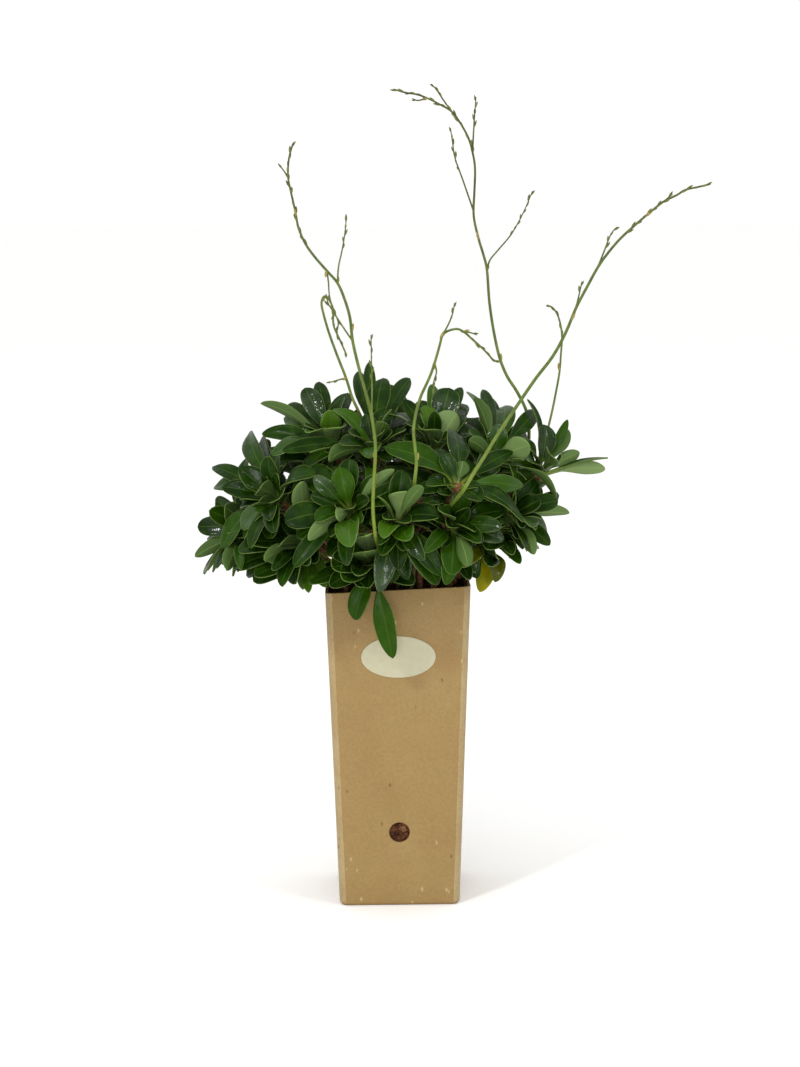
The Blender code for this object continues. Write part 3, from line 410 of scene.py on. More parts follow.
BACK_ROSETTES = (
    ("crown_left", 205, 62, 0.60, 12),
    ("crown_right", 55, 60, 0.62, 12),
    ("back_right", 25, 16, 0.66, 13),
    ("back_right_high", 62, 30, 0.62, 12),
    ("back_right_low", 66, 2, 0.62, 11),
    ("back_middle", 98, 16, 0.64, 13),
    ("back_left_high", 130, 32, 0.62, 12),
    ("back_left_low", 118, 2, 0.62, 11),
    ("back_left", 158, 14, 0.66, 13),
)
FLOWER_STEMS = (
    ("tall_left", -104, -62, 1.35, 0.75, (
        (375, 532), (373, 510), (374, 480), (375.5, 450), (373.5, 428), (369.5, 406), (362, 380),
        (353, 343), (350, 318), (344.5, 299), (337.5, 283), (327, 271), (314, 256), (305, 243),
        (298.5, 228), (296, 215), (293, 201), (290, 188), (288, 176), (289, 158), (293.5, 142)), (
        ((337.5, 283), (338.5, 267), (341.5, 253), (344.5, 236), (346.5, 217)),
        ((352.5, 341), (345, 330), (336, 316), (328.5, 304), (326, 295)),
        ((327, 271), (328.5, 283), (329.5, 296), (334, 312)),
        ((288, 177), (284, 171), (280, 166)))),
    ("nodding_left", -30, -16, 1.05, 0.75, (
        (357, 408), (352, 397), (346, 378), (337, 355), (329, 333), (323.5, 314), (321.5, 303),
        (324, 296.5), (328.5, 299), (333, 309), (333.5, 325), (339, 338), (343, 347), (347, 356)), (
        ((346, 378), (338, 380), (328, 383)),
        ((333, 310), (338, 321), (337.5, 330)))),
    ("arching_middle", -100, -66, 1.25, 0.75, (
        (415, 478), (416.5, 462), (415, 447), (413.5, 430), (416.5, 411), (421, 396), (427, 383),
        (432, 371), (437, 355), (440, 344), (442.5, 335.5), (448, 331), (457, 329), (464, 332),
        (472, 339), (481, 347), (487, 353), (493, 359.5), (499, 362.5)), (
        ((442.5, 335.5), (449.5, 322), (453, 312), (454.5, 303)),
        ((434.5, 363), (436.5, 372), (434, 381), (434, 392)),
        ((464, 332), (470, 332.5), (477, 335)))),
    ("tall_middle", 4, 14, 1.25, 0.75, (
        (529, 433), (528, 418), (524, 405), (516, 390), (507, 376), (500, 359), (495, 338),
        (491.5, 318), (489, 298), (487, 270), (483.5, 255), (479.5, 242), (475, 224), (473.5, 211),
        (474.5, 190), (475, 168), (472.5, 152), (468, 137), (459, 121), (451, 111), (438, 103.5),
        (427, 98), (417, 94.5), (405, 92.5), (393, 89)), (
        ((451, 111), (442, 98), (437, 90.5), (431.5, 84)),
        ((472.5, 152), (474, 124), (475, 110), (476, 97)),
        ((473.5, 211), (462.5, 179), (455, 158), (452.5, 142), (450.5, 128)),
        ((487, 270), (490, 260), (499, 249), (510, 236), (518, 223), (525, 209), (532.5, 191)),
        ((427, 98), (418, 100.5), (412.5, 98.5)))),
    ("tall_right", -96, -58, 1.4, 0.8, (
        (466, 486), (475, 471), (484, 457), (498, 434), (515.5, 408), (535, 379.5), (553, 356),
        (566, 332), (576, 308), (587, 287), (598, 267), (608, 253), (620, 239), (634, 226),
        (648, 214), (663, 202), (677, 195), (685, 190), (698, 187), (711, 184)), (
        ((576, 308), (579, 295), (582, 281.5)),
        ((598, 267), (605, 249), (611, 234), (617, 227)),
        ((648, 214), (663, 202), (672.5, 194)))),
    ("thin_right", -4, -10, 0.95, 0.7, (
        (541, 453), (546, 436), (551.5, 414), (556, 392), (559.5, 372), (561, 353), (562, 339),
        (561, 327), (558, 316), (553, 308), (546.5, 305)), ()),
)

def view_axes():
    """The viewer's place, and the directions in to the picture, right and up."""
    back = Vector((
        math.sin(VIEW_AZIMUTH) * math.cos(VIEW_ELEVATION),
        -math.cos(VIEW_AZIMUTH) * math.cos(VIEW_ELEVATION),
        math.sin(VIEW_ELEVATION),
    ))
    right = (-back).cross(Vector((0, 0, 1))).normalized()
    turn = Matrix.Rotation(VIEW_ROLL, 3, back)
    right = turn @ right
    return VIEW_TARGET + back * VIEW_DISTANCE, -back, right, right.cross(-back)


EYE, FORWARD, RIGHT, UP = view_axes()


def pixel_ray(px, py):
    """Direction from the eye through a pixel."""
    across = (px - VIEW_MIDDLE[0]) / VIEW_FOCAL
    down = (py - VIEW_MIDDLE[1]) / VIEW_FOCAL
    return (FORWARD + RIGHT * across - UP * down).normalized()


def at_depth(px, py, y):
    """The point behind a pixel that has this Y."""
    ray = pixel_ray(px, py)
    return EYE + ray * ((y - EYE.y) / ray.y)


def on_dome(px, py):
    """The point behind a pixel where the dome of leaves begins, or the nearest to it beside the dome."""
    ray = pixel_ray(px, py)
    start = EYE - DOME_CENTRE
    o = Vector([a / r for a, r in zip(start, DOME_RADII)])
    d = Vector([a / r for a, r in zip(ray, DOME_RADII)])
    middle = -o.dot(d) / d.dot(d)
    under = middle * middle - (o.dot(o) - 1) / d.dot(d)
    return EYE + ray * (middle - math.sqrt(max(0, under)))


def leaf_width(t):
    """Share of the full width at a share of the length: a narrow stalk, then a spoon-shaped blade."""
    if t < 0.7:
        s = min(1, max(0, (t - 0.14) / 0.56))
        return s * s * (3 - 2 * s)
    return max(0, 1 - ((t - 0.7) / 0.3) ** 2) ** 0.52


def make_leaf(root, bend, tip, facing, width):
    """A leaf's skeleton: its midrib is the quadratic curve root, bend, tip, and facing is its upper side."""
    across = facing.cross(tip - bend)
    return {"root": root, "bend": bend, "tip": tip, "across": across.normalized(), "width": width}


def midrib(leaf, t):
    """Point and direction on the midrib."""
    a, b, c = leaf["root"], leaf["bend"], leaf["tip"]
    point = a * (1 - t) ** 2 + b * 2 * t * (1 - t) + c * t * t
    return point, ((b - a) * (1 - t) + (c - b) * t).normalized()


def leaf_point(leaf, t, side, grow=0):
    """A corner of the leaf's section: its edges at side -1 and 1, and its rib below them at side 0."""
    point, along = midrib(leaf, t)
    if t == 1:
        return point
    across = (leaf["across"] - along * leaf["across"].dot(along)).normalized()
    above = along.cross(across)
    half = max(PETIOLE_HALF_WIDTH * (1 - t), leaf_width(t) * leaf["width"] / 2) + grow
    thick = PETIOLE_THICKNESS + (LEAF_THICKNESS - PETIOLE_THICKNESS) * min(1, t / 0.5) + 2 * grow
    return point + across * (half * side) + above * (thick * (0.35 if side else -0.65))


def leaf_template():
    """A three-sided cone sliced into rings of corners: the blade's two edges, and the rib under it."""
    bm = bmesh.new()
    bmesh.ops.create_cone(bm, cap_ends=True, segments=3, radius1=1, radius2=0, depth=1)
    bmesh.ops.translate(bm, vec=(0, 0, 0.5), verts=bm.verts)
    for t in LEAF_RINGS:
        bmesh.ops.bisect_plane(bm, geom=bm.verts[:] + bm.edges[:] + bm.faces[:],
                               plane_co=(0, 0, t), plane_no=(0, 0, 1))
    bmesh.ops.triangulate(bm, faces=bm.faces)
    bmesh.ops.recalc_face_normals(bm, faces=bm.faces)
    corners = []
    for v in bm.verts:
        side = 0 if abs(v.co.x) < 0.1 * (1 - v.co.z) else math.copysign(1, v.co.x)
        corners.append((round(v.co.z, 6), side))
    return bm, corners, [[v.index for v in f.verts] for f in bm.faces]


TEMPLATE, CORNERS, FACES = leaf_template()
BLADE_FACES = [f for f in FACES if min(CORNERS[i][0] for i in f) > 0.4]
TRY_MARGIN = 0.45 * MM


def in_clump(tip):
    """Whether a tip stays in the clump's outline, which ends at the rim and rises towards the right."""
    p = tip - DOME_CENTRE
    low = POT_HEIGHT - 2 * MM + 0.45 * max(0, tip.x - 55 * MM) + 1.1 * max(0, tip.x - 95 * MM)
    low += 0.17 * max(0, -tip.y - 20 * MM)
    return sum((a / r) ** 2 for a, r in zip(p, DOME_RADII)) < 1.06 and tip.z > low


def clear_of_pot(leaf):
    """Whether a blade stays outside the pot's wall, and above the compost inside it."""
    for step in range(2, 21):
        for side in (-1, 0, 1):
            p = leaf_point(leaf, step / 20, side)
            reach = max(abs(p.x), abs(p.y))
            if p.z > rim_height(p.x) + 1.5 * MM:
                continue
            if reach > half_size(max(0, p.z)) + 1.8 * MM:
                continue
            if reach > half_size(p.z) - POT_WALL - 1.5 * MM or p.z < compost_top(p.x, p.y) + 2 * MM:
                return False
    return True


class Clump:
    """What is already in place, so that the next leaf is bent clear of it."""

    def __init__(self):
        self.placed = []
        self.shown = []

    def shapes(self, leaf):
        points = [leaf_point(leaf, t, side, TRY_MARGIN) for t, side in CORNERS]
        tree = BVHTree.FromPolygons(points, FACES)
        blade = BVHTree.FromPolygons(points, BLADE_FACES)
        centre = (leaf["root"] + leaf["tip"]) / 2
        radius = max((p - centre).length for p in points)
        return tree, blade, centre, radius

    def free(self, owner, shapes):
        tree, blade, centre, radius = shapes
        for other, other_tree, other_blade, other_centre, other_radius in self.placed:
            if (centre - other_centre).length > radius + other_radius:
                continue
            if other != owner and tree.overlap(other_tree):
                return False
            if other == owner and other_blade is not None and blade.overlap(other_blade):
                return False
        return True

    def hides(self, leaf):
        """Whether a leaf would lie in front of a leaf that the view shows."""
        covered = 0
        for t in (0.5, 0.72, 0.94):
            for side in (-0.8, 0, 0.8):
                p = leaf_point(leaf, t, side)
                way = (p - EYE).normalized()
                for tree, centre, radius in self.shown:
                    off = centre - p
                    if off.dot(way) > -radius and (off - way * off.dot(way)).length < radius:
                        covered += tree.ray_cast(p, way)[3] is not None
                        if covered > 2:
                            return True
        return False

    def place(self, owner, tries, shown=False):
        """The first pose that is clear of everything, or None."""
        for leaf in tries:
            if not clear_of_pot(leaf) or (not shown and self.hides(leaf)):
                continue
            shapes = self.shapes(leaf)
            if self.free(owner, shapes):
                self.placed.append((owner, *shapes))
                if shown:
                    tree, blade, centre, radius = shapes
                    self.shown.append((blade, centre, radius))
                return leaf
        return None


def seen_leaf(rosette, tip, width, facing):
    """A leaf whose tip is placed by pixel. It leaves the growing tip along the stem and bends over."""
    root = rosette["at"] - rosette["axis"] * 3 * MM
    reach = tip - root
    lean = max(0, -rosette["axis"].dot(reach.normalized()))
    bend = root + reach * 0.4 + rosette["axis"] * reach.length * (0.2 + 0.25 * lean)
    towards = {"o": -FORWARD * 0.8 + rosette["axis"] * 0.3, "u": FORWARD * 0.85 + rosette["axis"] * 0.3,
               "e": rosette["axis"] * 0.5 + UP * 0.8 - FORWARD * 0.25}[facing]
    return make_leaf(root, bend, tip, towards, width)


def seen_leaf_tries(rosette, entry):
    """Poses of one seen leaf: the same pixel with the tip nearer or further, then a narrower blade."""
    px, py, width_px, facing = entry[:4]
    tip = at_depth(px, py, entry[4] * MM) if len(entry) > 4 else on_dome(px, py)
    ray = pixel_ray(px, py)
    width = width_px * (VIEW_DISTANCE / VIEW_FOCAL) * 1.08
    for narrow in (1, 0.85, 0.72):
        for shift in (0, 3, -3, 6, -6, 9, -9, 12, -12, 15, -15, 19, 23, -19, 28, 34):
            yield seen_leaf(rosette, tip + ray * shift * MM, width * narrow, facing)


def rule_leaf_tries(rosette, index, count, rng):
    """Poses of one leaf of the spiral: the young ones stand up in the middle and the old ones spread."""
    age = (index + 0.6) / count
    turn = rosette["phase"] + index * GOLDEN_ANGLE
    length = (34 + 22 * age) * MM * rng.uniform(0.9, 1.1)
    width = (13 + 6.5 * age) * MM * rng.uniform(0.9, 1.12)
    open_angle = math.radians(16 + 74 * age ** 0.85) + rng.uniform(-0.08, 0.08)
    axis, first, second = rosette["axis"], rosette["first"], rosette["second"]
    root = rosette["at"] - axis * (2 + 6 * age) * MM
    for shorter in (1, 0.86, 0.74):
        for swing, lift in ((0, 0), (14, 0), (-14, 0), (0, -14), (0, 12), (26, -8), (-26, -8), (20, 12),
                            (-20, 12), (38, 0), (-38, 0), (0, -28), (32, -24), (-32, -24)):
            a = turn + math.radians(swing)
            out = first * math.cos(a) + second * math.sin(a)
            opened = open_angle + math.radians(lift)
            along = axis * math.cos(opened) + out * math.sin(opened)
            early = axis * math.cos(opened * 0.4) + out * math.sin(opened * 0.4)
            size = length * shorter
            tip = root + along * size - Vector((0, 0, age * 0.1 * size))
            if not in_clump(tip):
                continue
            facing = axis * math.sin(opened) - out * math.cos(opened)
            yield make_leaf(root, root + early * size * 0.5, tip, facing, width * shorter ** 0.5)


def bezier(a, b, c, d, t):
    """A point of a cubic curve."""
    return a * (1 - t) ** 3 + b * 3 * t * (1 - t) ** 2 + c * 3 * t * t * (1 - t) + d * t ** 3


def stem_line(foot, at, axis, sway):
    """The line of a stem: upright out of the compost, then bending, with some sway, to where it ends."""
    surface = Vector((foot[0], foot[1], compost_top(*foot)))
    sunk = Vector((foot[0], foot[1], POT_HEIGHT - COMPOST_BELOW_RIM - STEM_SUNK))
    above = surface + Vector((0, 0, 3 * MM))
    reach = (at - above).length
    first = above + Vector((0, 0, reach * 0.4)) + sway
    last = at - axis * reach * 0.3 + sway
    return [sunk] + [bezier(above, first, last, at, t) for t in (0, 0.35, 0.68, 0.9, 1)]


def beads(points, radii):
    """Closely spaced spheres along a stem, for judging how near two stems come."""
    found = []
    for a, b, start, end in zip(points, points[1:], radii, radii[1:]):
        count = max(1, round((b - a).length / (1.5 * MM)))
        found += [(a.lerp(b, i / count), start + (end - start) * i / count) for i in range(count + 1)]
    return found


def clear_line(owner, foot, at, axis, radii, rods):
    """The least swayed line of a stem from the compost that is clear of the other stems' rods."""
    others = [(q, s) for other, q, s in rods if other != owner]
    for size in (0, 4, 7, 10, 13, 17, 21, 26):
        for turn in range(8 if size else 1):
            sway = Vector((math.cos(turn * math.pi / 4), math.sin(turn * math.pi / 4), 0)) * size * MM
            points = stem_line(foot, at, axis, sway)
            own = beads(points, radii)
            if all((p - q).length > r + s + 0.7 * MM for p, r in own for q, s in others):
                rods += [(owner, p, r) for p, r in own]
                return points
    print(owner, "isn't clear of the other stems")
    return stem_line(foot, at, axis, Vector((0, 0, 0)))


def rod_shape(points, radii):
    """A six-sided rod along points as the shapes that a leaf is kept clear of."""
    corners, faces = [], []
    first = (points[1] - points[0]).orthogonal()
    for i, (p, radius) in enumerate(zip(points, radii)):
        along = (points[min(i + 1, len(points) - 1)] - points[max(i - 1, 0)]).normalized()
        first = (first - along * first.dot(along)).normalized()
        second = along.cross(first)
        for k in range(6):
            a = k * math.pi / 3
            wide = radius / math.cos(math.pi / 6)
            corners.append(p + (first * math.cos(a) + second * math.sin(a)) * wide)
        if i:
            n = 6 * (i - 1)
            faces += [(n + k, n + (k + 1) % 6, n + 6 + (k + 1) % 6, n + 6 + k) for k in range(6)]
    middle = sum(points, Vector()) / len(points)
    reach = max((p - middle).length for p in corners)
    return BVHTree.FromPolygons(corners, faces), None, middle, reach


def rosettes():
    """Every rosette: where its growing tip is, the way it points, and what leaves it bears."""
    made = []
    for name, px, py, depth, extra, seen in FRONT_ROSETTES:
        made.append({"name": name, "at": at_depth(px, py, depth * MM), "extra": extra, "seen": seen})
    for name, azimuth, height, share, extra in BACK_ROSETTES:
        a, h = math.radians(azimuth), math.radians(height)
        way = Vector((math.cos(a) * math.cos(h), math.sin(a) * math.cos(h), math.sin(h)))
        at = DOME_CENTRE + Vector([w * r * share for w, r in zip(way, DOME_RADII)])
        made.append({"name": name, "at": at, "extra": extra, "seen": ()})
    for index, rosette in enumerate(made):
        axis = (rosette["at"] - STEM_ROOT).normalized()
        rosette["axis"] = axis
        rosette["first"] = axis.orthogonal().normalized()
        rosette["second"] = axis.cross(rosette["first"])
        rosette["phase"] = index * 1.7
        rosette["node"] = "rosette_" + rosette["name"]
    return made


def slots():
    """Where stems may stand in the compost: rings of evenly spaced places."""
    return [(r * math.cos(2 * math.pi * (i + ring / 2) / n), r * math.sin(2 * math.pi * (i + ring / 2) / n))
            for ring, (r, n) in enumerate(SLOT_RINGS) for i in range(n)]


def give_feet(plants):
    """Each stem takes the free slot nearest to the way it leans, those that lean furthest first."""
    free = slots()
    feet = {}
    for name, at in sorted(plants, key=lambda p: -math.hypot(p[1].x, p[1].y) + p[1].z * 0.2):
        wish = Vector((at.x, at.y)) * 0.42
        if wish.length > 38 * MM:
            wish = wish.normalized() * 38 * MM
        feet[name] = min(free, key=lambda s: (Vector(s) - wish).length)
        free.remove(feet[name])
    return feet


def flower_lines(entry):
    """World points of a flower stem's main line and of its twigs."""
    name, near, far, thick, thin, main, twigs = entry
    heights = [py for _, py in main]

    def depth(py):
        share = (heights[0] - py) / (heights[0] - min(heights))
        return (near + (far - near) * max(0, min(1, share)) ** 0.8) * MM

    lines = [[at_depth(px, py, depth(py)) for px, py in main]]
    for index, twig in enumerate(twigs):
        start = depth(twig[0][1])
        away = (6 if index % 2 else -6) * MM
        lines.append([at_depth(px, py, start + away * i / (len(twig) - 1)) for i, (px, py) in enumerate(twig)])
    return lines


def grow_clump():
    """Decides every line and pose of the plant: the stems first, then each leaf where there is room."""
    plants = rosettes()
    starts = [(r["node"], r["at"]) for r in plants]
    starts += [(e[0], flower_lines(e)[0][0]) for e in FLOWER_STEMS]
    feet = give_feet(starts)
    rods = [(r["node"], r["at"], APEX_RADIUS) for r in plants]
    for entry in FLOWER_STEMS:
        shown = flower_lines(entry)[0]
        rods += [(entry[0], p, r) for p, r in beads(shown, [entry[3] * MM] * len(shown))]

    clump = Clump()
    runs = {}
    for entry in FLOWER_STEMS:
        name, near, far, thick = entry[:4]
        lines = flower_lines(entry)
        inward = ((lines[0][1] - lines[0][0]).normalized() - FORWARD).normalized()
        runs[name] = clear_line(name, feet[name], lines[0][0], inward, [thick * MM] * 6, rods)
        for line in (runs[name], *lines):
            wide = thick * MM if line is runs[name] else SPIKELET_REACH
            clump.placed.append((name, *rod_shape(line, [wide] * len(line))))
    for rosette in plants:
        node = rosette["node"]
        runs[node] = clear_line(node, feet[node], rosette["at"], rosette["axis"], STEM_RADII, rods)
        clump.placed.append((node, *rod_shape(runs[node], STEM_RADII)))

    leaves = {r["node"]: [] for r in plants}
    for turn in range(max(len(r["seen"]) for r in plants)):
        for rosette in plants:
            if turn < len(rosette["seen"]):
                entry = rosette["seen"][turn]
                tries = seen_leaf_tries(rosette, entry)
                leaves[rosette["node"]].append(clump.place(rosette["node"], tries, shown=True))
    rng = random.Random(11)
    for turn in range(max(r["extra"] for r in plants)):
        for rosette in plants:
            if turn < rosette["extra"]:
                tries = rule_leaf_tries(rosette, turn, rosette["extra"], rng)
                leaves[rosette["node"]].append(clump.place(rosette["node"], tries))
    return plants, runs, leaves, clump


plants, runs, leaves, clump = grow_clump()

# More leaves placed by pixel, as rosette, x, y, width, facing and depth in mm
MORE_SEEN = (
    ("rosette_front_low", (366, 530, 22, "u", -117)),
    ("rosette_right_mid", (552, 452, 20, "o", -46)),
    ("rosette_left_under", (344, 530, 15, "o", -112)),
)
FILL_ROUNDS = 12
LOOKS_IN = 900
LOOKS_THROUGH = 1600
OPEN_DEPTH = 34 * MM


def in_fill(tip):
    """Whether a filling leaf's tip stays well inside the clump's outline, whose lower corners are thin."""
    low = POT_HEIGHT + 9 * MM + 0.5 * max(0, tip.x - 45 * MM) + 1.1 * max(0, tip.x - 85 * MM)
    return in_clump(tip) and tip.z > low


def fill_leaf_tries(rosette, share, rng):
    """Poses of a smaller leaf that grows from the side of the stem, under the rosette."""
    axis, first, second = rosette["axis"], rosette["first"], rosette["second"]
    root = rosette["at"] - axis * (4 + 26 * share) * MM
    length = rng.uniform(26, 46) * MM
    width = length * rng.uniform(0.32, 0.4)
    turn = rng.uniform(0, 2 * math.pi)
    open_angle = math.radians(rng.uniform(18, 62) + 42 * share)
    for swing in (0, 65, -65, 130, -130):
        a = turn + math.radians(swing)
        out = first * math.cos(a) + second * math.sin(a)
        for opened, size in ((open_angle, length), (open_angle * 0.65, length * 0.85)):
            along = axis * math.cos(opened) + out * math.sin(opened)
            early = axis * math.cos(opened * 0.4) + out * math.sin(opened * 0.4)
            tip = root + along * size
            if in_fill(tip):
                facing = axis * math.sin(opened) - out * math.cos(opened)
                yield make_leaf(root, root + early * size * 0.5, tip, facing, width)


def look_in(start, way):
    """How far a straight look into the clump goes before it meets a leaf or a stem."""
    nearest = math.inf
    for owner, tree, blade, centre, radius in clump.placed:
        off = centre - start
        if (off - way * off.dot(way)).length < radius:
            distance = tree.ray_cast(start, way)[3]
            if distance is not None:
                nearest = min(nearest, distance)
    return nearest


def crossing_leaf_tries(tip, outward, past, rng):
    """Poses of a leaf of one of the nearest rosettes that lies across an open place and faces out of it."""
    near = sorted(plants, key=lambda r: (r["at"] - tip).length)[:4]
    for rosette in near:
        for sunk in (2, 10, 20):
            root = rosette["at"] - rosette["axis"] * (2 + sunk) * MM
            for drop in (0, 5, 11):
                end = tip - outward * drop * MM
                end += (end - root).normalized() * past
                reach = end - root
                if not 20 * MM < reach.length < 64 * MM or not in_fill(end):
                    continue
                bend = root + reach * 0.4 + rosette["axis"] * reach.length * 0.2
                width = min(19 * MM, reach.length * rng.uniform(0.3, 0.4))
                facing = outward * 0.8 + rosette["axis"] * 0.5
                for narrow in (1, 0.75):
                    yield rosette["node"], make_leaf(root, bend, end, facing, width * narrow)


def lay_across(spot, outward, past):
    """Lays one leaf across an open place, and tells whether there was room."""
    for node, leaf in crossing_leaf_tries(spot, outward, past, rng):
        if clump.place(node, [leaf]):
            fill_leaves[node].append(leaf)
            return True
    return False


rng = random.Random(29)
fill_leaves = {rosette["node"]: [] for rosette in plants}
for node, entry in MORE_SEEN:
    rosette = next(r for r in plants if r["node"] == node)
    leaves[node].append(clump.place(node, seen_leaf_tries(rosette, entry)))
for i in range(LOOKS_IN):
    up = 1 - 1.22 * (i + 0.5) / LOOKS_IN
    turn = i * GOLDEN_ANGLE
    level = math.sqrt(1 - up * up)
    outward = Vector((level * math.cos(turn), level * math.sin(turn), up))
    surface = DOME_CENTRE + Vector([o * r for o, r in zip(outward, DOME_RADII)])
    if surface.z < POT_HEIGHT + 6 * MM or look_in(surface + outward * 40 * MM, -outward) < OPEN_DEPTH + 40 * MM:
        continue
    for sink in (5, 14):
        if lay_across(surface - outward * sink * MM, outward, 0):
            break
for i in range(LOOKS_THROUGH):
    turn = i * GOLDEN_ANGLE
    away = -FORWARD if i % 2 else Vector((math.cos(turn), math.sin(turn), rng.uniform(0, 0.5))).normalized()
    aside = away.orthogonal().normalized()
    aside.rotate(Matrix.Rotation(rng.uniform(0, 2 * math.pi), 3, away))
    through = DOME_CENTRE + aside * math.sqrt(rng.random()) * 105 * MM
    if through.z < POT_HEIGHT + 12 * MM or look_in(through + away * 250 * MM, -away) < math.inf:
        continue
    for toward in (60, 40, 80, 20, 0, -20):
        if lay_across(through + away * toward * MM, away, 8 * MM):
            break
for turn in range(FILL_ROUNDS):
    for rosette in plants:
        leaf = clump.place(rosette["node"], fill_leaf_tries(rosette, turn / (FILL_ROUNDS - 1), rng))
        if leaf:
            fill_leaves[rosette["node"]].append(leaf)


# The flower stems
# Thin green stems, a little ribbed, that branch near the top. Closed buds in papery bracts sit along the
# last stretch of each twig, and a brown scale marks each fork.

TWIG_RADIUS = 0.6 * MM
SPIKE_SHARE = 0.26


def walk(points, spacing, share):
    """Places and directions along the last share of a line, a spacing apart."""
    lengths = [(b - a).length for a, b in zip(points, points[1:])]
    total = sum(lengths)
    at, found = total - spacing * 0.55, []
    while at > total * (1 - share):
        run = 0
        for a, b, length in zip(points, points[1:], lengths):
            if run + length >= at:
                found.append((a.lerp(b, (at - run) / length), (b - a).normalized()))
                break
            run += length
        at -= spacing
    return found


def smooth_line(points, steps):
    """A curve through points, with some steps between each two."""
    found = []
    for i in range(len(points) - 1):
        p0, p1, p2 = points[max(i - 1, 0)], points[i], points[i + 1]
        p3 = points[min(i + 2, len(points) - 1)]
        for k in range(steps):
            t = k / steps
            found.append(0.5 * (p1 * 2 + (p2 - p0) * t + (p0 * 2 - p1 * 5 + p2 * 4 - p3) * t * t
                                + (p1 * 3 - p0 - p2 * 3 + p3) * t ** 3))
    return found + [points[-1]]


def sweep(bm, points, radii, rounding, material_index=0):
    """A round stem along points, drawn as a curve with a radius at each, then added to the mesh."""
    drawn = bpy.data.curves.new("stem_line", "CURVE")
    drawn.dimensions = "3D"
    drawn.bevel_depth = 1
    drawn.bevel_resolution = rounding
    drawn.use_fill_caps = True
    spline = drawn.splines.new("POLY")
    spline.points.add(len(points) - 1)
    for corner, at, radius in zip(spline.points, points, radii):
        corner.co = (*at, 1)
        corner.radius = radius
    obj = bpy.data.objects.new("stem_line", drawn)
    bpy.context.scene.collection.objects.link(obj)
    bpy.context.view_layer.update()
    tube = bpy.data.meshes.new_from_object(obj.evaluated_get(bpy.context.evaluated_depsgraph_get()))
    for f in tube.polygons:
        f.material_index = material_index
    bm.from_mesh(tube)
    bpy.data.objects.remove(obj)
    bpy.data.curves.remove(drawn)
    bpy.data.meshes.remove(tube)


# The stems are satin green with fine pale ribs, and darken towards their tips.
green_stem, place, shader = new_material("green_flower_stem", Roughness=0.45, Specular_IOR_Level=0.15)
streak = add_node(green_stem, "ShaderNodeMapping", {"Vector": place, "Scale": (1, 1, 0.25)}).outputs["Vector"]
streaks = add_node(green_stem, "ShaderNodeTexNoise", {"Vector": streak, "Scale": 420, "Detail": 3}).outputs["Fac"]
height = add_node(green_stem, "ShaderNodeSeparateXYZ", {"Vector": place}).outputs["Z"]
low_to_high = spread(green_stem, height, 0.27, 0.5)
body = colour_stops(green_stem, low_to_high, ((0, "#65762a"), (0.35, "#4b5c22"), (1, "#37411e")))
body = layered(green_stem, spread(green_stem, streaks, 0.4, 0.75, 0, 0.35), body, "#868f42")
# Painted shade: low down, just over the compost and under the leaves, the stem is darkened to a dark olive-brown.
body = layered(green_stem, spread(green_stem, height, 0.235, 0.262), "#3d3a1c", body)
join(green_stem, body, shader, "Base Color")

# The buds are dull olive clouded with tan, so that the twigs look beaded.
bud_scale, place, shader = new_material("papery_bud_scale", Roughness=0.55, Specular_IOR_Level=0.2)
tint = add_node(bud_scale, "ShaderNodeTexNoise", {"Vector": place, "Scale": 520, "Detail": 2}).outputs["Fac"]
join(bud_scale, colour_stops(bud_scale, tint, ((0.3, "#3c4522"), (0.55, "#5c642c"), (0.75, "#746a36"))),
     shader, "Base Color")

# A dry scale makes a small tan spot where a twig forks.
brown_scale, place, shader = new_material("dry_brown_scale", Roughness=0.7, Specular_IOR_Level=0.3)
tint = add_node(brown_scale, "ShaderNodeTexNoise", {"Vector": place, "Scale": 600, "Detail": 2}).outputs["Fac"]
join(brown_scale, colour_stops(brown_scale, tint, ((0.3, "#6a6230"), (0.7, "#94864c"))), shader, "Base Color")


def add_bud(bm, at, along, turn, length, width, material_index):
    """A pointed scale: a slim ball pinched to its tip, leaning off the twig."""
    ball = bmesh.ops.create_uvsphere(bm, u_segments=8, v_segments=6, radius=1)["verts"]
    for v in ball:
        pinch = 1 - 0.55 * max(0, v.co.z) ** 2
        v.co = Vector((v.co.x * width * pinch, v.co.y * width * 0.8 * pinch, (v.co.z + 0.75) * length / 2))
    side = along.orthogonal().normalized()
    side.rotate(Matrix.Rotation(turn, 3, along))
    pose = (along + side * 0.26).normalized().to_track_quat("Z", "Y").to_matrix()
    bmesh.ops.rotate(bm, matrix=pose, verts=ball)
    bmesh.ops.translate(bm, vec=at + side * 0.45 * MM, verts=ball)
    for f in {f for v in ball for f in v.link_faces}:
        f.material_index = material_index


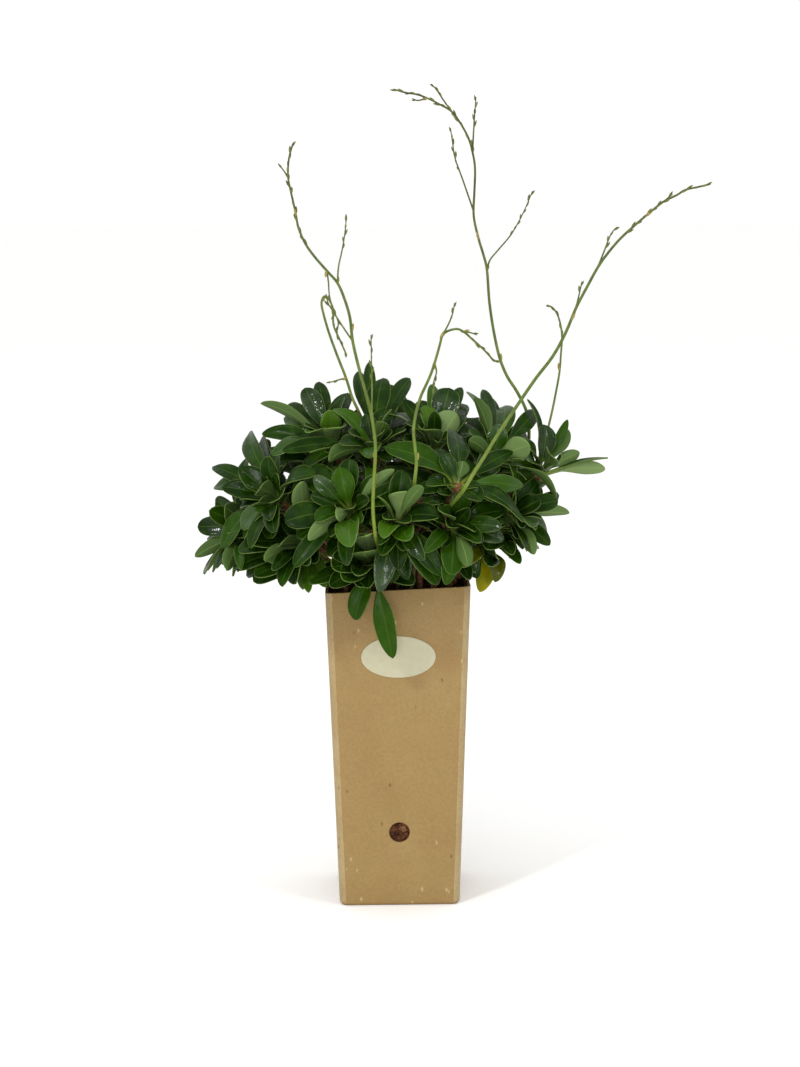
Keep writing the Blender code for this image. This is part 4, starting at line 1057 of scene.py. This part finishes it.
# One more thin twig, as pixels, that stands up out of the leaves beside the tall left stem
UPRIGHT_TWIG = ((371.5, 418), (372, 392), (371.5, 362), (371, 335))
for entry in FLOWER_STEMS:
    name, near, far, thick, thin, main, twigs = entry
    lines = flower_lines((*entry[:6], (*twigs, UPRIGHT_TWIG) if name == "tall_left" else twigs))
    rng = random.Random(name)
    bm = bmesh.new()
    points = smooth_line(runs[name] + lines[0][1:], 4)
    first_shown = (len(runs[name]) - 1) * 4
    radii = []
    for i in range(len(points)):
        share = max(0, i - first_shown) / (len(points) - 1 - first_shown)
        radii.append((thick + (thin * 0.82 - thick) * share ** 0.8) * 0.94 * MM)
    radii[-1] *= 0.4
    sweep(bm, points, radii, 3)
    turn = 0
    for index, line in enumerate(lines):
        fine = smooth_line(line, 4)
        if index:
            sweep(bm, fine, [TWIG_RADIUS * (1.05 - 0.45 * i / (len(fine) - 1)) for i in range(len(fine))], 2)
            along = (fine[1] - fine[0]).normalized()
            add_bud(bm, fine[0], along, 0.5, 5 * MM, 1.05 * MM, 2)
        for at, along in walk(fine, 4.4 * MM, 0.55 if index else SPIKE_SHARE):
            size = rng.uniform(0.75, 1.15)
            add_bud(bm, at, along, turn, 4.6 * MM * size, 0.78 * MM * size, 1)
            turn += GOLDEN_ANGLE * rng.uniform(0.8, 1.2)
    for at, along in walk(points[first_shown:], 84 * MM, 0.9):
        add_bud(bm, at - along * 2 * MM, along, turn, 6 * MM, 1.0 * MM, 2)
        turn += 2
    bmesh.ops.recalc_face_normals(bm, faces=bm.faces)
    stem = finish_mesh(bm, "flower_stem_" + name + "_green", green_stem, bud_scale, brown_scale)
    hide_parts("flower_stem_" + name)


# The leafy stems
# Short woody stems, each with a rosette of leathery spoon-shaped leaves. A leaf has a pale stalk, a glossy
# dark green blade cupped along its rib, a thin pale margin and a dull grey-green underside.

# The upper side is a deep green hide with a pale rib and margin. A broken film of water on some leaves gives
# sharp glints beside dull places.
leaf_upper, place, shader = new_material("leathery_leaf", Specular_IOR_Level=0.08, IOR=1.45, Coat_Roughness=0.09)
across_along = add_node(leaf_upper, "ShaderNodeUVMap", uv_map="blade").outputs["UV"]
split = add_node(leaf_upper, "ShaderNodeSeparateXYZ", {"Vector": across_along}).outputs
tone = add_node(leaf_upper, "ShaderNodeAttribute", attribute_name="tone").outputs["Fac"]
yellow = add_node(leaf_upper, "ShaderNodeAttribute", attribute_name="yellowing").outputs["Fac"]
body = colour_stops(leaf_upper, tone, ((0, "#0a1e01"), (0.35, "#142c02"), (0.65, "#284803"), (1, "#587628")))
blotch = add_node(leaf_upper, "ShaderNodeTexNoise", {"Vector": place, "Scale": 120, "Detail": 3}).outputs["Fac"]
body = layered(leaf_upper, spread(leaf_upper, blotch, 0.45, 0.75, 0, 0.22), body, "#3f5f14")
off_rib = add_node(leaf_upper, "ShaderNodeMath", {0: split["X"], 1: 0.5}, operation="SUBTRACT").outputs[0]
off_rib = add_node(leaf_upper, "ShaderNodeMath", {0: off_rib}, operation="ABSOLUTE").outputs[0]
rib = spread(leaf_upper, off_rib, 0.01, 0.035, 0.16, 0)
body = layered(leaf_upper, rib, body, "#6a8a3a")
margin = spread(leaf_upper, off_rib, 0.47, 0.492, 0, 0.34)
body = layered(leaf_upper, margin, body, "#8fa653")
stalk = spread(leaf_upper, split["Y"], 0.1, 0.36, 0.8, 0)
body = layered(leaf_upper, stalk, body, "#6f8130")
body = layered(leaf_upper, spread(leaf_upper, split["Y"], 0.02, 0.12, 0.7, 0), body, "#85481c")
aged = colour_stops(leaf_upper, blotch, ((0.35, "#626302"), (0.65, "#7d7602")))
body = layered(leaf_upper, yellow, body, aged)
join(leaf_upper, body, shader, "Base Color")
leaf_film_and_peat_shade = add_node(leaf_upper, "ShaderNodeAttribute", attribute_name="leaf_film_and_peat_shade").outputs["Fac"]
wax = add_node(leaf_upper, "ShaderNodeTexNoise", {"Vector": place, "Scale": 55, "Detail": 2}).outputs["Fac"]
dry_gloss = spread(leaf_upper, wax, 0.42, 0.62, 0.2, 0.42)
join(leaf_upper, dry_gloss, shader, "Roughness")
patch = spread(leaf_upper, wax, 0.4, 0.6, 0.15, 0.8)
film = add_node(leaf_upper, "ShaderNodeMath", {0: leaf_film_and_peat_shade, 1: patch}, operation="MULTIPLY").outputs[0]
join(leaf_upper, film, shader, "Coat Weight")
quilt = add_node(leaf_upper, "ShaderNodeTexNoise", {"Vector": place, "Scale": 240, "Detail": 3}).outputs["Fac"]
beads_of_water = spread(leaf_upper, leaf_film_and_peat_shade, 0, 1, 0.3, 0.75)
leather = add_node(leaf_upper, "ShaderNodeBump", {"Height": quilt, "Strength": beads_of_water, "Distance": 0.001})
join(leaf_upper, leather.outputs["Normal"], shader, "Normal")
join(leaf_upper, leather.outputs["Normal"], shader, "Coat Normal")

# The underside has no film: it is paler, greyer and dull, so a turned leaf stands out from the rest.
leaf_under, place, shader = new_material("leaf_underside", Roughness=0.5, Specular_IOR_Level=0.12)
across_along = add_node(leaf_under, "ShaderNodeUVMap", uv_map="blade").outputs["UV"]
split = add_node(leaf_under, "ShaderNodeSeparateXYZ", {"Vector": across_along}).outputs
tone = add_node(leaf_under, "ShaderNodeAttribute", attribute_name="tone").outputs["Fac"]
yellow = add_node(leaf_under, "ShaderNodeAttribute", attribute_name="yellowing").outputs["Fac"]
body = colour_stops(leaf_under, tone, ((0, "#364d1d"), (0.6, "#4a6130"), (1, "#687d4b")))
off_rib = add_node(leaf_under, "ShaderNodeMath", {0: split["X"], 1: 0.5}, operation="SUBTRACT").outputs[0]
off_rib = add_node(leaf_under, "ShaderNodeMath", {0: off_rib}, operation="ABSOLUTE").outputs[0]
body = layered(leaf_under, spread(leaf_under, off_rib, 0.012, 0.045, 0.4, 0), body, "#7d9150")
body = layered(leaf_under, spread(leaf_under, split["Y"], 0.1, 0.36, 0.8, 0), body, "#788743")
body = layered(leaf_under, yellow, body, "#7a6f08")
join(leaf_under, body, shader, "Base Color")

# The woody stems are flaky brown, and make the dark of the clump warm.
bark, place, shader = new_material("woody_stem", Roughness=0.8, Specular_IOR_Level=0.3)
rings = add_node(bark, "ShaderNodeTexNoise", {"Vector": place, "Scale": 420, "Detail": 4}).outputs["Fac"]
bark_colour = colour_stops(bark, rings, ((0.3, "#3a2416"), (0.55, "#6b4528"), (0.75, "#8f7040")))
join(bark, bark_colour, shader, "Base Color")
flake = add_node(bark, "ShaderNodeBump", {"Height": rings, "Strength": 0.7, "Distance": 0.001})
join(bark, flake.outputs["Normal"], shader, "Normal")

BLADE_COLUMNS = 6
BLADE_ROWS = 16


def blade_form():
    """A thin box of a leaf's columns and rows: its corners' x, y and z are side, length and face."""
    bm = bmesh.new()
    bmesh.ops.create_grid(bm, x_segments=BLADE_COLUMNS, y_segments=BLADE_ROWS, size=1)
    for v in bm.verts:
        v.co = Vector((v.co.x, 1 - (0.5 - v.co.y / 2) ** 1.4, 1))
    bmesh.ops.solidify(bm, geom=list(bm.faces), thickness=2)
    uv = bm.loops.layers.uv.new("blade")
    for f in bm.faces:
        for loop in f.loops:
            loop[uv].uv = (loop.vert.co.x / 2 + 0.5, loop.vert.co.y)
        f.material_index = int(sum(v.co.z for v in f.verts) / len(f.verts) < -0.5)
    bmesh.ops.recalc_face_normals(bm, faces=bm.faces)
    form = bpy.data.meshes.new("blade_form")
    bm.to_mesh(form)
    bm.free()
    return form


def blade_width(t, stalk, blunt):
    """The blade's share of its greatest width: a long narrow stalk, widest past two thirds, and a round end."""
    widest = 0.65 + 0.25 * stalk
    if t < widest:
        s = max(0, (t - stalk) / (widest - stalk))
        return s * s * (3 - 2 * s)
    return max(0, 1 - ((t - widest) / (1 - widest)) ** blunt) ** 0.55


def blade_point(leaf, look, t, side, face):
    """A point of the finished leaf: cupped across, waved at its margin, thin at its edge, stout in its stalk."""
    t = min(t, 0.9995)
    point, along = midrib(leaf, t)
    across = (leaf["across"] - along * leaf["across"].dot(along)).normalized()
    across.rotate(Matrix.Rotation(look["twist"] * t * t, 3, along))
    above = along.cross(across)
    full = blade_width(t, look["stalk"], look["blunt"])
    half = max(PETIOLE_HALF_WIDTH * (1 - t), full * leaf["width"] * look["slim"] / 2)
    thick = (PETIOLE_THICKNESS + (1.05 * MM - PETIOLE_THICKNESS) * min(1, t / 0.5)) * (1 - 0.55 * side ** 4)
    cup = full * half * look["cup"] * side * side
    wave = full * half * 0.06 * math.sin(t * 11 + look["phase"] + (2 if side > 0 else 0)) * side * side
    rib = -0.22 * MM * full * math.exp(-(side / 0.16) ** 2)
    curl = look["curl"] * (leaf["tip"] - leaf["root"]).length * max(0, t - 0.55) ** 2
    lift = cup + wave + rib + curl + face * thick / 2 - 0.2 * MM
    return point + across * (half * side) + above * lift


def add_blade(bm, form, leaf, look):
    """Adds one leaf to the rosette's mesh."""
    before = len(bm.verts)
    bm.from_mesh(form)
    bm.verts.ensure_lookup_table()
    tone_layer = bm.verts.layers.float["tone"]
    yellow_layer = bm.verts.layers.float["yellowing"]
    wet_layer = bm.verts.layers.float["leaf_film_and_peat_shade"]
    for i in range(before, len(bm.verts)):
        v = bm.verts[i]
        side, t, face = v.co
        v.co = blade_point(leaf, look, t, side, face)
        v[tone_layer] = look["tone"]
        v[yellow_layer] = look["yellow"]
        v[wet_layer] = look["leaf_film_and_peat_shade"]


form = blade_form()
YELLOWING = {("rosette_right_under", 0): 1.0, ("rosette_right_under", 1): 0.3, ("rosette_right_under", 3): 0.35}
TONES = {
    ("rosette_left_low", 0): 0.4, ("rosette_left_low", 1): 0.15, ("rosette_left_mid", 7): 0.5,
    ("rosette_left_mid", 3): 0.3, ("rosette_left_mid", 4): 0.4, ("rosette_left_top", 2): 0.25,
    ("rosette_top_left", 6): 0.2, ("rosette_left_under", 6): 0.8, ("rosette_middle_left", 2): 0.12,
    ("rosette_middle_left", 4): 0.2, ("rosette_front_low", 0): 0.3, ("rosette_front_low", 1): 0.5,
    ("rosette_front_low", 2): 1.0, ("rosette_front_low", 9): 1.0, ("rosette_front_low", 4): 0.55,
    ("rosette_front_middle", 1): 0.3,
    ("rosette_front_middle", 3): 0.95, ("rosette_top_middle", 0): 0.9, ("rosette_top_middle", 1): 0.3,
    ("rosette_top_right", 2): 0.85, ("rosette_front_right", 3): 0.6, ("rosette_right_low", 0): 0.3,
    ("rosette_right_mid", 3): 1.0, ("rosette_front_right_low", 0): 0.5,
}
SHAPES = {
    ("rosette_front_low", 0): (0.26, 1.05), ("rosette_front_low", 1): (0.14, 1),
    ("rosette_front_low", 4): (0.24, 0.8),
}
WET = {
    ("rosette_middle_left", 0), ("rosette_middle_left", 1), ("rosette_middle_left", 3), ("rosette_top_middle", 1),
    ("rosette_top_right", 1), ("rosette_top_right", 0), ("rosette_front_right", 4), ("rosette_front_middle", 5),
    ("rosette_left_top", 2), ("rosette_left_mid", 7), ("rosette_front_middle", 1),
}
for rosette in plants:
    node = rosette["node"]
    rng = random.Random(node)
    bm = bmesh.new()
    bm.verts.layers.float.new("tone")
    bm.verts.layers.float.new("yellowing")
    bm.verts.layers.float.new("leaf_film_and_peat_shade")
    bm.loops.layers.uv.new("blade")
    fine = smooth_line(runs[node], 5)
    swell = []
    for i in range(len(fine)):
        k = i / 5
        a, b = STEM_RADII[int(k)], STEM_RADII[min(int(k) + 1, len(STEM_RADII) - 1)]
        swell.append((a + (b - a) * (k - int(k))) * (0.93 if i < len(fine) - 2 else 0.6))
    sweep(bm, fine, swell, 3, 2)
    for index, leaf in enumerate(leaves[node] + fill_leaves[node]):
        if leaf is None:
            continue
        tone = rng.triangular(0, 0.85, 0.25) if index < len(leaves[node]) else rng.uniform(0, 0.4)
        stalk, slim = SHAPES.get((node, index), (rng.uniform(0.06, 0.22), 1))
        look = {"cup": rng.uniform(0.14, 0.48), "phase": rng.uniform(0, 6), "twist": rng.uniform(-0.5, 0.5),
                "stalk": stalk, "slim": slim, "blunt": rng.uniform(1.5, 2.5), "curl": rng.uniform(-0.4, 0.2),
                "tone": TONES.get((node, index), tone), "yellow": YELLOWING.get((node, index), 0),
                "leaf_film_and_peat_shade": 1 if (node, index) in WET else rng.choice((0, 0, 0, 0.4))}
        add_blade(bm, form, leaf, look)
    bmesh.ops.recalc_face_normals(bm, faces=[f for f in bm.faces if f.material_index == 2])
    leafy = finish_mesh(bm, node + "_leaves", leaf_upper, leaf_under, bark)
    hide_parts(node)
bpy.data.meshes.remove(form)


# The floor, the light and the camera
# A plain pale floor that runs back out of sight, three soft lamps in front of it and an even white sky.

# A matt near-white floor: it keeps a soft shadow and no reflection.
paint, place, shader = new_material("pale_floor_paint", Roughness=0.9, Base_Color=linear("#fafaf9"))
bm = bmesh.new()
bmesh.ops.create_grid(bm, x_segments=1, y_segments=1, size=30)
floor = bpy.data.objects.new("floor", bpy.data.meshes.new("floor"))
bm.to_mesh(floor.data)
bm.free()
floor.data.materials.append(paint)
bpy.context.scene.collection.objects.link(floor)


def add_lamp(name, place, aim, size, power):
    """A square soft lamp turned to a point."""
    lamp = bpy.data.lights.new(name, "AREA")
    lamp.size = size
    lamp.energy = power
    obj = bpy.data.objects.new(name, lamp)
    obj.location = place
    obj.rotation_euler = (Vector(aim) - Vector(place)).to_track_quat("-Z", "Y").to_euler()
    bpy.context.scene.collection.objects.link(obj)


add_lamp("key_lamp", (-1.1, -1.5, 1.9), (0, 0, 0.28), 0.24, 20)
add_lamp("fill_lamp", (1.5, -1.3, 1.3), (0, 0, 0.28), 0.24, 7)
add_lamp("front_lamp", (-0.2, -2.4, 0.45), (0, 0, 0.28), 0.8, 16)

sky = bpy.data.worlds.new("white_sky")
bpy.context.scene.world = sky
sky.use_nodes = True
sky.node_tree.nodes["Background"].inputs["Color"].default_value = (1, 1, 1, 1)
sky.node_tree.nodes["Background"].inputs["Strength"].default_value = 1.04
bpy.context.scene.view_settings.view_transform = "Standard"

lens = bpy.data.cameras.new("camera")
camera = bpy.data.objects.new("camera", lens)
pose = Matrix((RIGHT, UP, -FORWARD)).transposed().to_4x4()
pose.translation = EYE
camera.matrix_world = pose
lens.sensor_width = 36
lens.lens = VIEW_FOCAL / 1067 * 36
bpy.context.scene.collection.objects.link(camera)
bpy.context.scene.camera = camera
